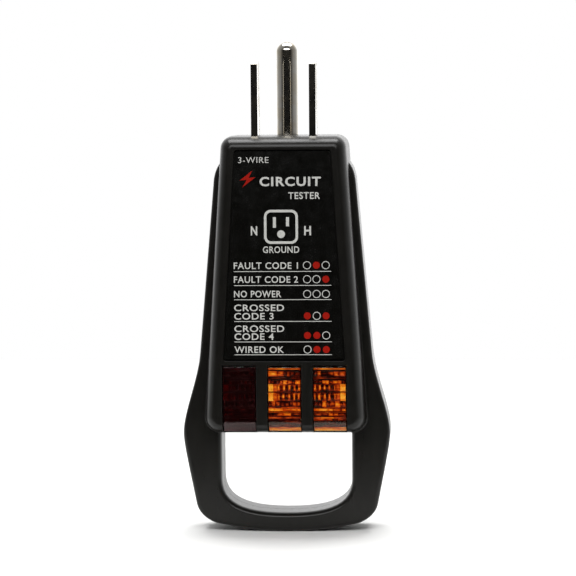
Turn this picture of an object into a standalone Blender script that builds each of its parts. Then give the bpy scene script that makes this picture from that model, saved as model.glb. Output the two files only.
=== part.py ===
"""Three-lamp outlet tester plug with a loop handle, for a 5-15 outlet.

Sizes are in millimetres and MM turns them into Blender's metres. +Z runs along the prongs,
-Y faces the reader of the legend, and the origin is on the face that meets the outlet,
midway between the two flat blades.
"""

import math

import bmesh
import bpy
from mathutils import Vector

MM = 0.001

# Outlet standard: blade and pin sizes and places
BLADE_SPACING = 12.7
BLADE_WIDTH = 6.35
BLADE_THICK = 1.5
BLADE_LENGTH = 16.6
PIN_DIAMETER = 4.75
PIN_LENGTH = 20.7
PIN_DOME = 1.85
PIN_BACK = 11.9

# Blade below the outlet face: shoulder, solder tail and its eye
BLADE_TIP_CHAMFER = 0.9
BLADE_TIP_TAPER = 0.55
SHOULDER_HALF = 4.3
SHOULDER_TOP_Z = -2.8
SHOULDER_BOTTOM_Z = -5.4
SHOULDER_RUNOUT = 0.2
TAIL_HALF = 2.0
TAIL_END_Z = -16.2
EYE_RADIUS = 0.7
EYE_RISE = 1.4

# Ground pin below the outlet face: flange and tail
PIN_FLANGE_RADIUS = 3.1
PIN_FLANGE_TOP_Z = -2.7
PIN_FLANGE_BOTTOM_Z = -4.6
PIN_TAIL_RADIUS = 1.6

# Slots and hole in the outlet face, cut from above it into the space inside
SLOT_TOP_Z = 2
SLOT_FOOT_Z = -4

# Casing depths, along Y
FACE_Y = -7.6
REAR_Y = 17.4
PARTING_Y = 4.4
FRAME_FRONT_Y = -1.45
FRAME_REAR_Y = 2 * PARTING_Y - FRAME_FRONT_Y
WALL = 2.0
GAP = 0.3
# How far a cutter reaches past what it cuts, and how near counts as on a plane
OVERCUT = 1.0
SLACK = 0.05

# Raised central body, a tapered block from the outlet face down to the handle opening
BODY_BOTTOM_Z = -65.1
BODY_TOP_HALF = 13.95
BODY_BOTTOM_HALF = 18.25
BODY_DRAFT = 0.7
BODY_TOP_CORNER = 2.6
BODY_BOTTOM_CORNER = 3.3
CORNER_SHRINK = 0.75
# The block's flanks lean in by a draft, and all its sides end in a quarter ellipse onto each
# face; its top and bottom have no draft, so the top is flat where it meets the outlet
CREASE_DRAFT = 0.22
CREASE_DEPTH = 0.4
EDGE_DRAFT = 0.36
EDGE_DEPTH = 4.4
EDGE_WIDTH = 2.35
EDGE_STEPS = 6
CORNER_STEPS = 5
FLAT_ANGLE = 0.002

# Space inside the body, above and below
CAVITY_TOP_Z = -2.4
CAVITY_BOTTOM_Z = BODY_BOTTOM_Z + 2.3
CAVITY_CORNER = 1.0

# Lip of the front shell, round the space inside, that stands in a rebate of the rear shell
LIP_INSET = 1.0
LIP_HEIGHT = 0.8

# Handle frame and its opening
FRAME_EDGE = 1.0
OPENING_HALF = 14.4
OPENING_CORNER = 0.9
OPENING_SIDE_END_Z = -76.0
OPENING_BOTTOM_Z = -83.55
OPENING_EDGE = 0.5
SQUARENESS = 0.7
POCKET_X = 17.9
POCKET_TOP_Z = -71.5
POCKET_BOTTOM_Z = -79.0
POCKET_OFFSETS = {"outer_top": 1.8, "outer_bottom": 1.3, "inner_bottom": -1.7, "inner_top": -1.6}
POCKET_CORNER = 1.2

# Reach of the cutters that take away all of the casing past the seam
FAR_SIDE = 30
FAR_TOP_Z = 5
FAR_BOTTOM_Z = -95

# Legend label and its recess
LABEL_TOP_Z = -3.2
LABEL_BOTTOM_Z = -48.5
LABEL_TOP_HALF = 10.2
LABEL_BOTTOM_HALF = 13.05
LABEL_SINK = 0.15
LABEL_THICK = 0.3
LABEL_MARGIN = 0.3
LABEL_CORNER = 0.4
RECESS_CORNER = 0.6
RIDGE_MARGIN = 0.45

# Lamp windows
LENS_PITCH = 9.9
LENS_WIDTH = 7.15
LENS_TOP_Z = -50.1
LENS_BOTTOM_Z = -64.8
LENS_PROUD = 0.15
LENS_CHAMFER = 2.5
LENS_BACK_Y = -4.4
LENS_FLANGE = 0.7
FLANGE_BOTTOM_RISE = 2.6
FLANGE_TOP_RISE = 0.9
HOLLOW_SIDE = 1.2
HOLLOW_FRONT = 1.8
HOLLOW_BOTTOM = 2.2

# Parts inside
CARRIER_HALF = 10.6
CARRIER_FRONT_Y = -5.2
CARRIER_REAR_Y = 15.0
CARRIER_TOP_Z = -5.9
CARRIER_BOTTOM_Z = -12.4
CARRIER_STEP_HALF = 9.4
CARRIER_STEP_Y = 6.4
RELIEF_HALF = 3.2
RELIEF_REAR_Y = 4.5
RELIEF_TOP_Z = -8.2
CARRIER_CUT_Z = -20
CARRIER_CUT_HALF = 12
CARRIER_CUT_REAR_Y = 20
BOARD_HALF = 12.4
BOARD_FRONT_Y = 3.6
BOARD_THICK = 1.6
BOARD_TOP_Z = -30.5
BOARD_BOTTOM_Z = -61.8
LEAD_RADIUS = 0.3
LEAD_HOLE_RADIUS = 0.6
LEAD_BEND = 0.7
LEAD_STUB = 0.9
WIRE_RADIUS = 0.8
WIRE_HOLE_Z = -32.6
WIRE_STAND_OFF = 3.0
WIRE_HOLE_X = 4.5
WIRE_DROP = 5
WIRE_RISE = 6
WIRE_STEPS = 12
WIRE_HOLE_PLAY = 0.1
LAMP_Y = -1.2
LAMP_RADIUS = 2.4
LAMP_WALL = 0.5
LAMP_TIP_WALL = 0.6
LAMP_TOP_Z = -52.2
LAMP_BOTTOM_Z = -61.4
LAMP_LEAD_SHIFT = 0.9
LAMP_LEAD_RISE = 3.2
LAMP_HOLE_Z = -48.6
RESISTOR_Y = 0.6
RESISTOR_PITCH = 7.4
RESISTOR_HOLES = (-35.4, -46.0)
RESISTOR_PROFILE = [(0, 3.3), (0.8, 3.3), (1.2, 2.9), (1.2, 2.1), (1.0, 1.7), (1.0, -1.7),
                    (1.2, -2.1), (1.2, -2.9), (0.8, -3.3), (0, -3.3)]
REFLECTOR_HALF = 14.0
REFLECTOR_TOP_Z = -49.9
REFLECTOR_BOTTOM_Z = -62.4
BAY_HALF = 3.9
BAY_REAR_Y = 2.3
BAY_TOP_Z = -51.2
BAY_BOTTOM_Z = -61.8
BAY_SLOT_HALF = 1.6

# Screws, driven from the rear into bosses of the front shell
SCREW_PLACES = {"upper_left": (-10.3, -21.5), "upper_right": (10.3, -21.5),
                "lower_left": (-18.5, -66.5), "lower_right": (18.5, -66.5)}
SCREW_RADIUS = 1.3
SCREW_HEAD_RADIUS = 2.4
SCREW_HEAD_THICK = 1.8
SCREW_HEAD_SINK = 0.6
SCREW_HEAD_EDGE = 0.5
SCREW_POINT = 1.2
SCREW_POINT_RADIUS = 0.5
SCREW_TIP_DEPTH = 2.8
BORE_RADIUS = SCREW_RADIUS + GAP
BORE_DEPTH = 2.2
BOSS_RADIUS = 2.7
REAR_BOSS_RADIUS = 3.6
REAR_BOSS_SHIFT = 0.15
SEAT_DEPTH = 2.7

for old in list(bpy.data.objects):
    bpy.data.objects.remove(old, do_unlink=True)

parts = bpy.data.collections.new("outlet_tester_plug")
cutters = bpy.data.collections.new("cutters")
bpy.context.scene.collection.children.link(parts)
bpy.context.scene.collection.children.link(cutters)


def material(name, colour, roughness, metallic=0.0, transmission=0.0):
    mat = bpy.data.materials.new(name)
    mat.use_nodes = True
    shader = mat.node_tree.nodes["Principled BSDF"]
    shader.inputs["Base Color"].default_value = (*colour, 1.0)
    shader.inputs["Roughness"].default_value = roughness
    shader.inputs["Metallic"].default_value = metallic
    shader.inputs["Transmission Weight"].default_value = transmission
    return mat


ABS_BLACK = material("abs_black", (0.022, 0.022, 0.021), 0.42)
LABEL_BLACK = material("label_black", (0.008, 0.008, 0.007), 0.25)
LENS_RED = material("lens_red", (0.16, 0.004, 0.004), 0.1, transmission=0.6)
LENS_AMBER = material("lens_amber", (0.75, 0.22, 0.01), 0.1, transmission=0.6)
NICKEL = material("nickel", (0.62, 0.61, 0.58), 0.18, metallic=1.0)
NYLON = material("nylon_natural", (0.72, 0.68, 0.58), 0.5)
REFLECTOR = material("reflector_white", (0.8, 0.8, 0.78), 0.4)
BOARD = material("board_green", (0.03, 0.17, 0.07), 0.45)
GLASS = material("lamp_glass", (0.9, 0.9, 0.9), 0.03, transmission=0.95)
TINNED = material("tinned_wire", (0.7, 0.7, 0.68), 0.25, metallic=1.0)
CERAMIC = material("resistor_body", (0.62, 0.48, 0.32), 0.5)
WIRE_BLACK = material("wire_black", (0.02, 0.02, 0.02), 0.45)
WIRE_WHITE = material("wire_white", (0.75, 0.75, 0.72), 0.45)
WIRE_GREEN = material("wire_green", (0.03, 0.3, 0.08), 0.45)
SCREW_STEEL = material("screw_steel", (0.35, 0.35, 0.36), 0.3, metallic=1.0)


# ---------------------------------------------------------------- building blocks

def add(name, mesh, mat=None, as_cutter=False):
    """Put a mesh in the scene as a part, or as a hidden wire cutter."""
    obj = bpy.data.objects.new(name, mesh)
    if as_cutter:
        cutters.objects.link(obj)
        obj.hide_render = True
        obj.display_type = "WIRE"
    else:
        parts.objects.link(obj)
        mesh.materials.clear()
        mesh.materials.append(mat)
        mesh.shade_smooth()
        mesh.set_sharp_from_angle(angle=math.radians(35))
    return obj


def box_mesh(name, corner, opposite):
    bm = bmesh.new()
    bmesh.ops.create_cube(bm, size=1.0)
    for vert in bm.verts:
        for axis in range(3):
            middle = (corner[axis] + opposite[axis]) / 2
            size = abs(opposite[axis] - corner[axis])
            vert.co[axis] = (middle + vert.co[axis] * size) * MM
    mesh = bpy.data.meshes.new(name)
    bm.to_mesh(mesh)
    bm.free()
    return mesh


def rod_mesh(name, radius, start, end, axis, across, segments=16):
    """Cylinder along Y or Z from start to end; across holds its two other coordinates."""
    bm = bmesh.new()
    bmesh.ops.create_cone(bm, cap_ends=True, segments=segments, radius1=radius * MM,
                          radius2=radius * MM, depth=abs(end - start) * MM)
    middle = (start + end) / 2
    for vert in bm.verts:
        x, y, z = vert.co
        if axis == "Y":
            vert.co = (x + across[0] * MM, -z + middle * MM, y + across[1] * MM)
        else:
            vert.co = (x + across[0] * MM, y + across[1] * MM, z + middle * MM)
    mesh = bpy.data.meshes.new(name)
    bm.to_mesh(mesh)
    bm.free()
    return mesh


def boolean(obj, cutter, operation="DIFFERENCE"):
    mod = obj.modifiers.new(cutter.name, "BOOLEAN")
    mod.operation = operation
    mod.solver = "EXACT"
    mod.object = cutter


def cut_box(obj, name, low, high):
    boolean(obj, add(name, box_mesh(name, low, high), as_cutter=True))


def cut_rod(obj, name, *rod, segments=16):
    boolean(obj, add(name, rod_mesh(name, *rod, segments=segments), as_cutter=True))


def join_box(obj, name, low, high):
    boolean(obj, add(name, box_mesh(name, low, high), as_cutter=True), "UNION")


def join_rod(obj, name, *rod, segments=16):
    boolean(obj, add(name, rod_mesh(name, *rod, segments=segments), as_cutter=True), "UNION")


def evaluated_mesh(obj):
    graph = bpy.context.evaluated_depsgraph_get()
    mesh = bpy.data.meshes.new_from_object(obj.evaluated_get(graph))
    mesh.transform(obj.matrix_world)
    return mesh


def curve_to_mesh(curve, name, rotation=(0, 0, 0), location=(0, 0, 0)):
    """Turn a curve object's data into one closed mesh with its caps welded on."""
    holder = bpy.data.objects.new(name, curve)
    holder.rotation_euler = rotation
    holder.location = location
    cutters.objects.link(holder)
    bpy.context.view_layer.update()
    mesh = evaluated_mesh(holder)
    bpy.data.objects.remove(holder)
    bm = bmesh.new()
    bm.from_mesh(mesh)
    bmesh.ops.remove_doubles(bm, verts=bm.verts, dist=0.00001)
    bmesh.ops.dissolve_limit(bm, angle_limit=FLAT_ANGLE, verts=bm.verts, edges=bm.edges)
    bmesh.ops.recalc_face_normals(bm, faces=bm.faces)
    bm.to_mesh(mesh)
    bm.free()
    return mesh


def rounded_polygon(points, radii):
    """Bezier points (place, handle in, handle out) of a polygon with rounded corners."""
    beziers = []
    count = len(points)
    for i, (x, z) in enumerate(points):
        before = points[i - 1]
        after = points[(i + 1) % count]
        to_before = math.hypot(before[0] - x, before[1] - z)
        to_after = math.hypot(after[0] - x, after[1] - z)
        back = ((before[0] - x) / to_before, (before[1] - z) / to_before)
        ahead = ((after[0] - x) / to_after, (after[1] - z) / to_after)
        turn = math.acos(max(-1.0, min(1.0, back[0] * ahead[0] + back[1] * ahead[1])))
        reach = radii[i] / math.tan(turn / 2)
        handle = reach - radii[i] * 4 / 3 * math.tan((math.pi - turn) / 4)
        start = (x + back[0] * reach, z + back[1] * reach)
        end = (x + ahead[0] * reach, z + ahead[1] * reach)
        beziers.append((start, start, (x + back[0] * handle, z + back[1] * handle)))
        beziers.append((end, (x + ahead[0] * handle, z + ahead[1] * handle), end))
    return beziers


def slab_mesh(name, outlines, y_low, y_high, edge=0.0, steps=4, inset=0.0):
    """Flat outlines in the XZ plane, filled and extruded along Y.

    The slab's edges are rounded by edge, or the outlines are moved inwards by inset.
    """
    curve = bpy.data.curves.new(name, "CURVE")
    curve.dimensions = "2D"
    curve.fill_mode = "BOTH"
    curve.resolution_u = steps
    curve.extrude = ((y_high - y_low) / 2 - edge) * MM
    curve.bevel_depth = edge * MM
    curve.bevel_resolution = 1
    curve.offset = -(edge + inset) * MM
    for outline in outlines:
        spline = curve.splines.new("BEZIER")
        spline.bezier_points.add(len(outline) - 1)
        spline.use_cyclic_u = True
        for point, (place, handle_in, handle_out) in zip(spline.bezier_points, outline):
            point.handle_left_type = "FREE"
            point.handle_right_type = "FREE"
            point.co = (place[0] * MM, place[1] * MM, 0)
            point.handle_left = (handle_in[0] * MM, handle_in[1] * MM, 0)
            point.handle_right = (handle_out[0] * MM, handle_out[1] * MM, 0)
    middle = (y_low + y_high) / 2 * MM
    return curve_to_mesh(curve, name, (math.pi / 2, 0, 0), (0, middle, 0))


def wire_mesh(name, points, radius, sides=2):
    """Round wire through the given points."""
    curve = bpy.data.curves.new(name, "CURVE")
    curve.dimensions = "3D"
    curve.bevel_depth = radius * MM
    curve.bevel_resolution = sides
    curve.use_fill_caps = True
    spline = curve.splines.new("POLY")
    spline.points.add(len(points) - 1)
    for point, (x, y, z) in zip(spline.points, points):
        point.co = (x * MM, y * MM, z * MM, 1)
    return curve_to_mesh(curve, name)


def turned_part(name, profile, location, mat, steps=16):
    """Solid of revolution about Z; profile runs down its outer side as (radius, z)."""
    mesh = bpy.data.meshes.new(name)
    mesh.from_pydata([(r * MM, 0, z * MM) for r, z in profile],
                     [(i, i + 1) for i in range(len(profile) - 1)], [])
    obj = add(name, mesh, mat)
    obj.location = [value * MM for value in location]
    screw = obj.modifiers.new("turn", "SCREW")
    screw.axis = "Z"
    screw.steps = steps
    screw.render_steps = steps
    screw.use_merge_vertices = True
    screw.merge_threshold = 0.00001
    screw.use_smooth_shade = True
    return obj


def mirrored(half):
    """Close a right-hand half outline, given from the top down, with its mirror image."""
    left = [((-p[0], p[1]), (-b[0], b[1]), (-a[0], a[1])) for p, a, b in reversed(half)]
    return half + [point for point in left if abs(point[0][0]) > 0.01]


# ---------------------------------------------------------------- casing

def frame_outline():
    """Handle frame: shoulders, straight flanks, flare, widest point, foot and curved base."""
    return mirrored([
        ((0, -4.5), (-4, -4.5), (4, -4.5)),
        ((11.6, -4.5), (8, -4.5), (14.0, -4.5)),
        ((15.6, -9.6), (15.35, -7.3), (16.2, -16.3)),
        ((19.0, -47.6), (18.4, -40.9), (19.45, -53.5)),
        ((22.9, -65.6), (22.9, -61.0), (22.9, -68.2)),
        ((20.15, -81.5), (21.75, -73.2), (19.7, -83.6)),
        ((15.8, -85.85), (17.9, -85.1), (10.7, -87.05)),
        ((0, -87.65), (5.3, -87.65), (-5.3, -87.65)),
    ])


def opening_outline():
    """Finger opening: square top corners, straight sides and a deep rounded bottom."""
    bend = OPENING_CORNER * 0.45
    side_handle = OPENING_SIDE_END_Z - SQUARENESS * (OPENING_SIDE_END_Z - OPENING_BOTTOM_Z)
    base_handle = SQUARENESS * OPENING_HALF
    top = BODY_BOTTOM_Z
    corner_x = OPENING_HALF - OPENING_CORNER
    return mirrored([
        ((corner_x, top), (0, top), (OPENING_HALF - bend, top)),
        ((OPENING_HALF, top - OPENING_CORNER), (OPENING_HALF, top - bend), (OPENING_HALF, -70)),
        ((OPENING_HALF, OPENING_SIDE_END_Z), (OPENING_HALF, -72), (OPENING_HALF, side_handle)),
        ((0, OPENING_BOTTOM_Z), (base_handle, OPENING_BOTTOM_Z), (-base_handle, OPENING_BOTTOM_Z)),
    ])


def rounded_loop(corners, radii):
    """Points of a polygon with rounded corners, the same number for any radii."""
    loop = []
    for i, (place, radius) in enumerate(zip(corners, radii)):
        tip = Vector(place)
        back = (Vector(corners[i - 1]) - tip).normalized()
        ahead = (Vector(corners[(i + 1) % len(corners)]) - tip).normalized()
        half_turn = back.angle(ahead) / 2
        centre = tip + (back + ahead).normalized() * radius / math.sin(half_turn)
        reach = radius / math.tan(half_turn)
        start = tip + back * reach - centre
        end = tip + ahead * reach - centre
        sweep = math.pi - 2 * half_turn
        for k in range(CORNER_STEPS + 1):
            share = k / CORNER_STEPS
            spoke = start * math.sin((1 - share) * sweep) + end * math.sin(share * sweep)
            loop.append(centre + spoke / math.sin(sweep))
    return loop


def body_corners(inset, draft=0.0):
    """Corners of the tapered block's outline, moved in by an inset, and its flanks by a draft."""
    slope = (BODY_BOTTOM_HALF - BODY_TOP_HALF) / -BODY_BOTTOM_Z
    inward = (inset + draft) * math.hypot(1, slope)
    top, bottom = -inset, BODY_BOTTOM_Z + inset
    half_top = BODY_TOP_HALF - slope * top - inward
    half_bottom = BODY_TOP_HALF - slope * bottom - inward
    return [(half_top, top), (half_bottom, bottom), (-half_bottom, bottom), (-half_top, top)]


def body_radii(inset):
    """Corner radii of the block's outline, in the order of its corners."""
    top = BODY_TOP_CORNER - CORNER_SHRINK * inset
    bottom = BODY_BOTTOM_CORNER - CORNER_SHRINK * inset
    return [top, bottom, bottom, top]


def body_block_mesh():
    """Tapered block whose flanks lean in towards both faces and roll onto them."""
    side = []
    for k in range(EDGE_STEPS + 1):
        angle = math.pi / 2 * k / EDGE_STEPS
        side.append((EDGE_DEPTH * (1 - math.sin(angle)), EDGE_WIDTH * (1 - math.cos(angle))))
    stations = [(FACE_Y + rise, inset, EDGE_DRAFT) for rise, inset in reversed(side)]
    stations += [(FRAME_FRONT_Y + CREASE_DEPTH, 0.0, CREASE_DRAFT), (PARTING_Y, 0.0, 0.0),
                 (FRAME_REAR_Y - CREASE_DEPTH, 0.0, CREASE_DRAFT)]
    stations += [(REAR_Y - rise, inset, EDGE_DRAFT) for rise, inset in side]
    bm = bmesh.new()
    rings = []
    for y, inset, draft in stations:
        loop = rounded_loop(body_corners(inset, draft), body_radii(inset))
        rings.append([bm.verts.new((x * MM, y * MM, z * MM)) for x, z in loop])
    for ring, following in zip(rings, rings[1:]):
        for i in range(len(ring)):
            j = (i + 1) % len(ring)
            bm.faces.new((ring[i], ring[j], following[j], following[i]))
    bm.faces.new(rings[0])
    bm.faces.new(rings[-1])
    bmesh.ops.dissolve_limit(bm, angle_limit=FLAT_ANGLE, verts=bm.verts, edges=bm.edges)
    bmesh.ops.recalc_face_normals(bm, faces=bm.faces)
    mesh = bpy.data.meshes.new("body_block")
    bm.to_mesh(mesh)
    bm.free()
    return mesh


def body_half_at(z):
    """Half width of the drafted faces at a height."""
    share = z / BODY_BOTTOM_Z
    return BODY_TOP_HALF - BODY_DRAFT + share * (BODY_BOTTOM_HALF - BODY_TOP_HALF)


def cavity_mesh(name, y_low, y_high, wall=WALL):
    """Space inside the body, a wall's thickness in from the drafted flanks."""
    shrink = wall - WALL
    top = CAVITY_TOP_Z - shrink
    bottom = CAVITY_BOTTOM_Z + shrink
    half_top = body_half_at(top) - wall
    half_bottom = body_half_at(bottom) - wall
    corners = [(half_top, top), (half_bottom, bottom), (-half_bottom, bottom), (-half_top, top)]
    outline = rounded_polygon(corners, [CAVITY_CORNER] * 4)
    return slab_mesh(name, [outline], y_low, y_high, steps=2)


def casing_mesh():
    """The closed outer form of both shells together."""
    plate = add("frame_plate", slab_mesh("frame_plate", [frame_outline()], FRAME_FRONT_Y,
                                         FRAME_REAR_Y, FRAME_EDGE, 6), as_cutter=True)
    opening = slab_mesh("opening", [opening_outline()], FRAME_FRONT_Y - OVERCUT,
                        FRAME_REAR_Y + OVERCUT, steps=6)
    boolean(plate, add("opening", opening, as_cutter=True))
    bpy.context.view_layer.update()
    mesh = evaluated_mesh(plate)
    bm = bmesh.new()
    bm.from_mesh(mesh)
    bm.normal_update()
    rims = []
    for edge in bm.edges:
        middle = (edge.verts[0].co + edge.verts[1].co) / 2 / MM
        at_face = min(abs(middle.y - FRAME_FRONT_Y), abs(middle.y - FRAME_REAR_Y)) < SLACK
        inside = abs(middle.x) < OPENING_HALF + SLACK and middle.z < BODY_BOTTOM_Z - SLACK
        if at_face and inside and edge.calc_face_angle() > 1.0:
            rims.append(edge)
    bmesh.ops.bevel(bm, geom=rims, offset=OPENING_EDGE * MM, segments=2, profile=0.5,
                    affect="EDGES", clamp_overlap=False)
    bm.to_mesh(mesh)
    bm.free()
    casing = add("casing_form", mesh, as_cutter=True)
    boolean(casing, add("body_form", body_block_mesh(), as_cutter=True), "UNION")
    bpy.context.view_layer.update()
    return evaluated_mesh(casing)


def seam_slab(name, inset, y_low, y_high):
    """Slab of the body's outline at the seam, moved inwards by an inset."""
    outline = rounded_polygon(body_corners(inset), body_radii(0.0))
    return add(name, slab_mesh(name, [outline], y_low, y_high, steps=2), as_cutter=True)


casing_form = casing_mesh()
front_shell = add("front_shell", casing_form.copy(), ABS_BLACK)
rear_shell = add("rear_shell", casing_form, ABS_BLACK)

SEAM_FRONT_Y = PARTING_Y - GAP / 2
SEAM_REAR_Y = PARTING_Y + GAP / 2
LIP_TOP_Y = PARTING_Y + LIP_HEIGHT

# What the seam takes off each shell: the front one keeps a lip, the rear one gets its rebate
beyond_front = add("beyond_front",
                   box_mesh("beyond_front", (-FAR_SIDE, SEAM_FRONT_Y, FAR_BOTTOM_Z),
                            (FAR_SIDE, FAR_SIDE, FAR_TOP_Z)), as_cutter=True)
boolean(beyond_front, seam_slab("lip", LIP_INSET, SEAM_FRONT_Y - OVERCUT, LIP_TOP_Y))
beyond_rear = add("beyond_rear",
                  box_mesh("beyond_rear", (-FAR_SIDE, -FAR_SIDE, FAR_BOTTOM_Z),
                           (FAR_SIDE, SEAM_REAR_Y, FAR_TOP_Z)), as_cutter=True)
rebate = seam_slab("rebate", LIP_INSET - GAP, SEAM_REAR_Y - OVERCUT, LIP_TOP_Y + GAP)
rebate_space = cavity_mesh("rebate_space", SEAM_REAR_Y - 2 * OVERCUT, LIP_TOP_Y + 2 * OVERCUT,
                           WALL + GAP)
boolean(rebate, add("rebate_space", rebate_space, as_cutter=True))
boolean(beyond_rear, rebate, "UNION")

rear_cavity = cavity_mesh("rear_cavity", PARTING_Y - OVERCUT, REAR_Y - WALL)
boolean(rear_shell, add("rear_cavity", rear_cavity, as_cutter=True))
boolean(front_shell, beyond_front)
front_cavity = cavity_mesh("front_cavity", FACE_Y + WALL, LIP_TOP_Y + OVERCUT)
boolean(front_shell, add("front_cavity", front_cavity, as_cutter=True))
for place, (x, z) in SCREW_PLACES.items():
    if place.startswith("upper"):
        join_rod(front_shell, f"front_boss_{place}", BOSS_RADIUS, FACE_Y + WALL / 2, SEAM_FRONT_Y, "Y",
                 (x, z))
        join_rod(rear_shell, f"rear_boss_{place}", REAR_BOSS_RADIUS, PARTING_Y, REAR_Y - WALL / 2, "Y",
                 (x - math.copysign(REAR_BOSS_SHIFT, x), z))

boolean(rear_shell, beyond_rear)


def handle_pocket(shell, name, side, y_low, y_high):
    """Cored-out slot in one handle arm, open at the seam."""
    x = POCKET_X * side
    offsets = POCKET_OFFSETS
    outline = rounded_polygon([(x + offsets["outer_top"], POCKET_TOP_Z),
                               (x + offsets["outer_bottom"], POCKET_BOTTOM_Z),
                               (x + offsets["inner_bottom"], POCKET_BOTTOM_Z),
                               (x + offsets["inner_top"], POCKET_TOP_Z)],
                              [POCKET_CORNER] * 4)
    boolean(shell, add(name, slab_mesh(name, [outline], y_low, y_high, steps=2),
                       as_cutter=True))


for side_name, side in (("left", -1), ("right", 1)):
    handle_pocket(front_shell, f"front_pocket_{side_name}", side, FRAME_FRONT_Y + WALL,
                  LIP_TOP_Y + OVERCUT)
    handle_pocket(rear_shell, f"rear_pocket_{side_name}", side, SEAM_REAR_Y - OVERCUT,
                  FRAME_REAR_Y - WALL)

for place, (x, z) in SCREW_PLACES.items():
    is_upper = place.startswith("upper")
    face_front = FACE_Y if is_upper else FRAME_FRONT_Y
    face_rear = REAR_Y if is_upper else FRAME_REAR_Y
    cut_rod(front_shell, f"pilot_{place}", BORE_RADIUS, face_front + BORE_DEPTH,
            LIP_TOP_Y + OVERCUT, "Y", (x, z), segments=12)
    cut_rod(rear_shell, f"bore_{place}", BORE_RADIUS, SEAM_REAR_Y - OVERCUT, REAR_Y + OVERCUT,
            "Y", (x, z), segments=12)
    cut_rod(rear_shell, f"counterbore_{place}", SCREW_HEAD_RADIUS + GAP, face_rear - SEAT_DEPTH,
            REAR_Y + OVERCUT, "Y", (x, z))

# Slots and hole in the outlet face
for side_name, side in (("left", -1), ("right", 1)):
    x = side * BLADE_SPACING / 2
    half_thick = BLADE_THICK / 2 + GAP
    half_wide = BLADE_WIDTH / 2 + GAP
    cut_box(front_shell, f"blade_slot_{side_name}", (x - half_thick, -half_wide, SLOT_FOOT_Z),
            (x + half_thick, half_wide, SLOT_TOP_Z))
cut_rod(rear_shell, "pin_hole", PIN_DIAMETER / 2 + GAP, SLOT_FOOT_Z, SLOT_TOP_Z, "Z",
        (0, PIN_BACK))

# Label recess, and the three notches that the windows fill
recess = [(LABEL_TOP_HALF + LABEL_MARGIN, LABEL_TOP_Z + LABEL_MARGIN),
          (LABEL_BOTTOM_HALF + LABEL_MARGIN, LABEL_BOTTOM_Z - RIDGE_MARGIN)]
recess += [(-half, z) for half, z in reversed(recess)]
LABEL_BACK_Y = FACE_Y + LABEL_SINK + LABEL_THICK
boolean(front_shell, add("label_recess",
                         slab_mesh("label_recess", [rounded_polygon(recess, [RECESS_CORNER] * 4)],
                                   FACE_Y - OVERCUT, LABEL_BACK_Y + GAP, steps=2),
                         as_cutter=True))
for i in (-1, 0, 1):
    half = LENS_WIDTH / 2 + GAP / 2
    cut_box(front_shell, f"lens_notch_{i + 2}",
            (i * LENS_PITCH - half, FACE_Y - OVERCUT, BODY_BOTTOM_Z - OVERCUT),
            (i * LENS_PITCH + half, LENS_BACK_Y + GAP, LENS_TOP_Z + GAP))


# ---------------------------------------------------------------- label and windows

label_corners = [(LABEL_TOP_HALF, LABEL_TOP_Z), (LABEL_BOTTOM_HALF, LABEL_BOTTOM_Z),
                 (-LABEL_BOTTOM_HALF, LABEL_BOTTOM_Z), (-LABEL_TOP_HALF, LABEL_TOP_Z)]
label_outline = rounded_polygon(label_corners, [LABEL_CORNER] * 4)
add("legend_label", slab_mesh("legend_label", [label_outline], FACE_Y + LABEL_SINK, LABEL_BACK_Y,
                              steps=2), LABEL_BLACK)


def lens(name, x, mat):
    """Window with a chamfered lower edge, hollow behind, with a flange behind the shell."""
    half = LENS_WIDTH / 2
    front = FACE_Y - LENS_PROUD
    mesh = box_mesh(name, (x - half, front, LENS_BOTTOM_Z), (x + half, LENS_BACK_Y, LENS_TOP_Z))
    bm = bmesh.new()
    bm.from_mesh(mesh)
    for edge in bm.edges:
        if all(v.co.y < (front + SLACK) * MM and v.co.z < (LENS_BOTTOM_Z + SLACK) * MM
               for v in edge.verts):
            lower_edge = edge
    bmesh.ops.bevel(bm, geom=[lower_edge], offset=LENS_CHAMFER * MM, segments=1,
                    affect="EDGES")
    bm.to_mesh(mesh)
    bm.free()
    obj = add(name, mesh, mat)
    flange_half = half + LENS_FLANGE
    join_box(obj, f"{name}_flange",
             (x - flange_half, FACE_Y + WALL + GAP, LENS_BOTTOM_Z + FLANGE_BOTTOM_RISE),
             (x + flange_half, LENS_BACK_Y, LENS_TOP_Z + FLANGE_TOP_RISE))
    hollow_half = half - HOLLOW_SIDE
    cut_box(obj, f"{name}_hollow",
            (x - hollow_half, front + HOLLOW_FRONT, LENS_BOTTOM_Z + HOLLOW_BOTTOM),
            (x + hollow_half, 0, LENS_TOP_Z - HOLLOW_SIDE))


lens("lens_red", -LENS_PITCH, LENS_RED)
lens("lens_amber_middle", 0, LENS_AMBER)
lens("lens_amber_right", LENS_PITCH, LENS_AMBER)


# ---------------------------------------------------------------- prongs and their carrier

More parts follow.
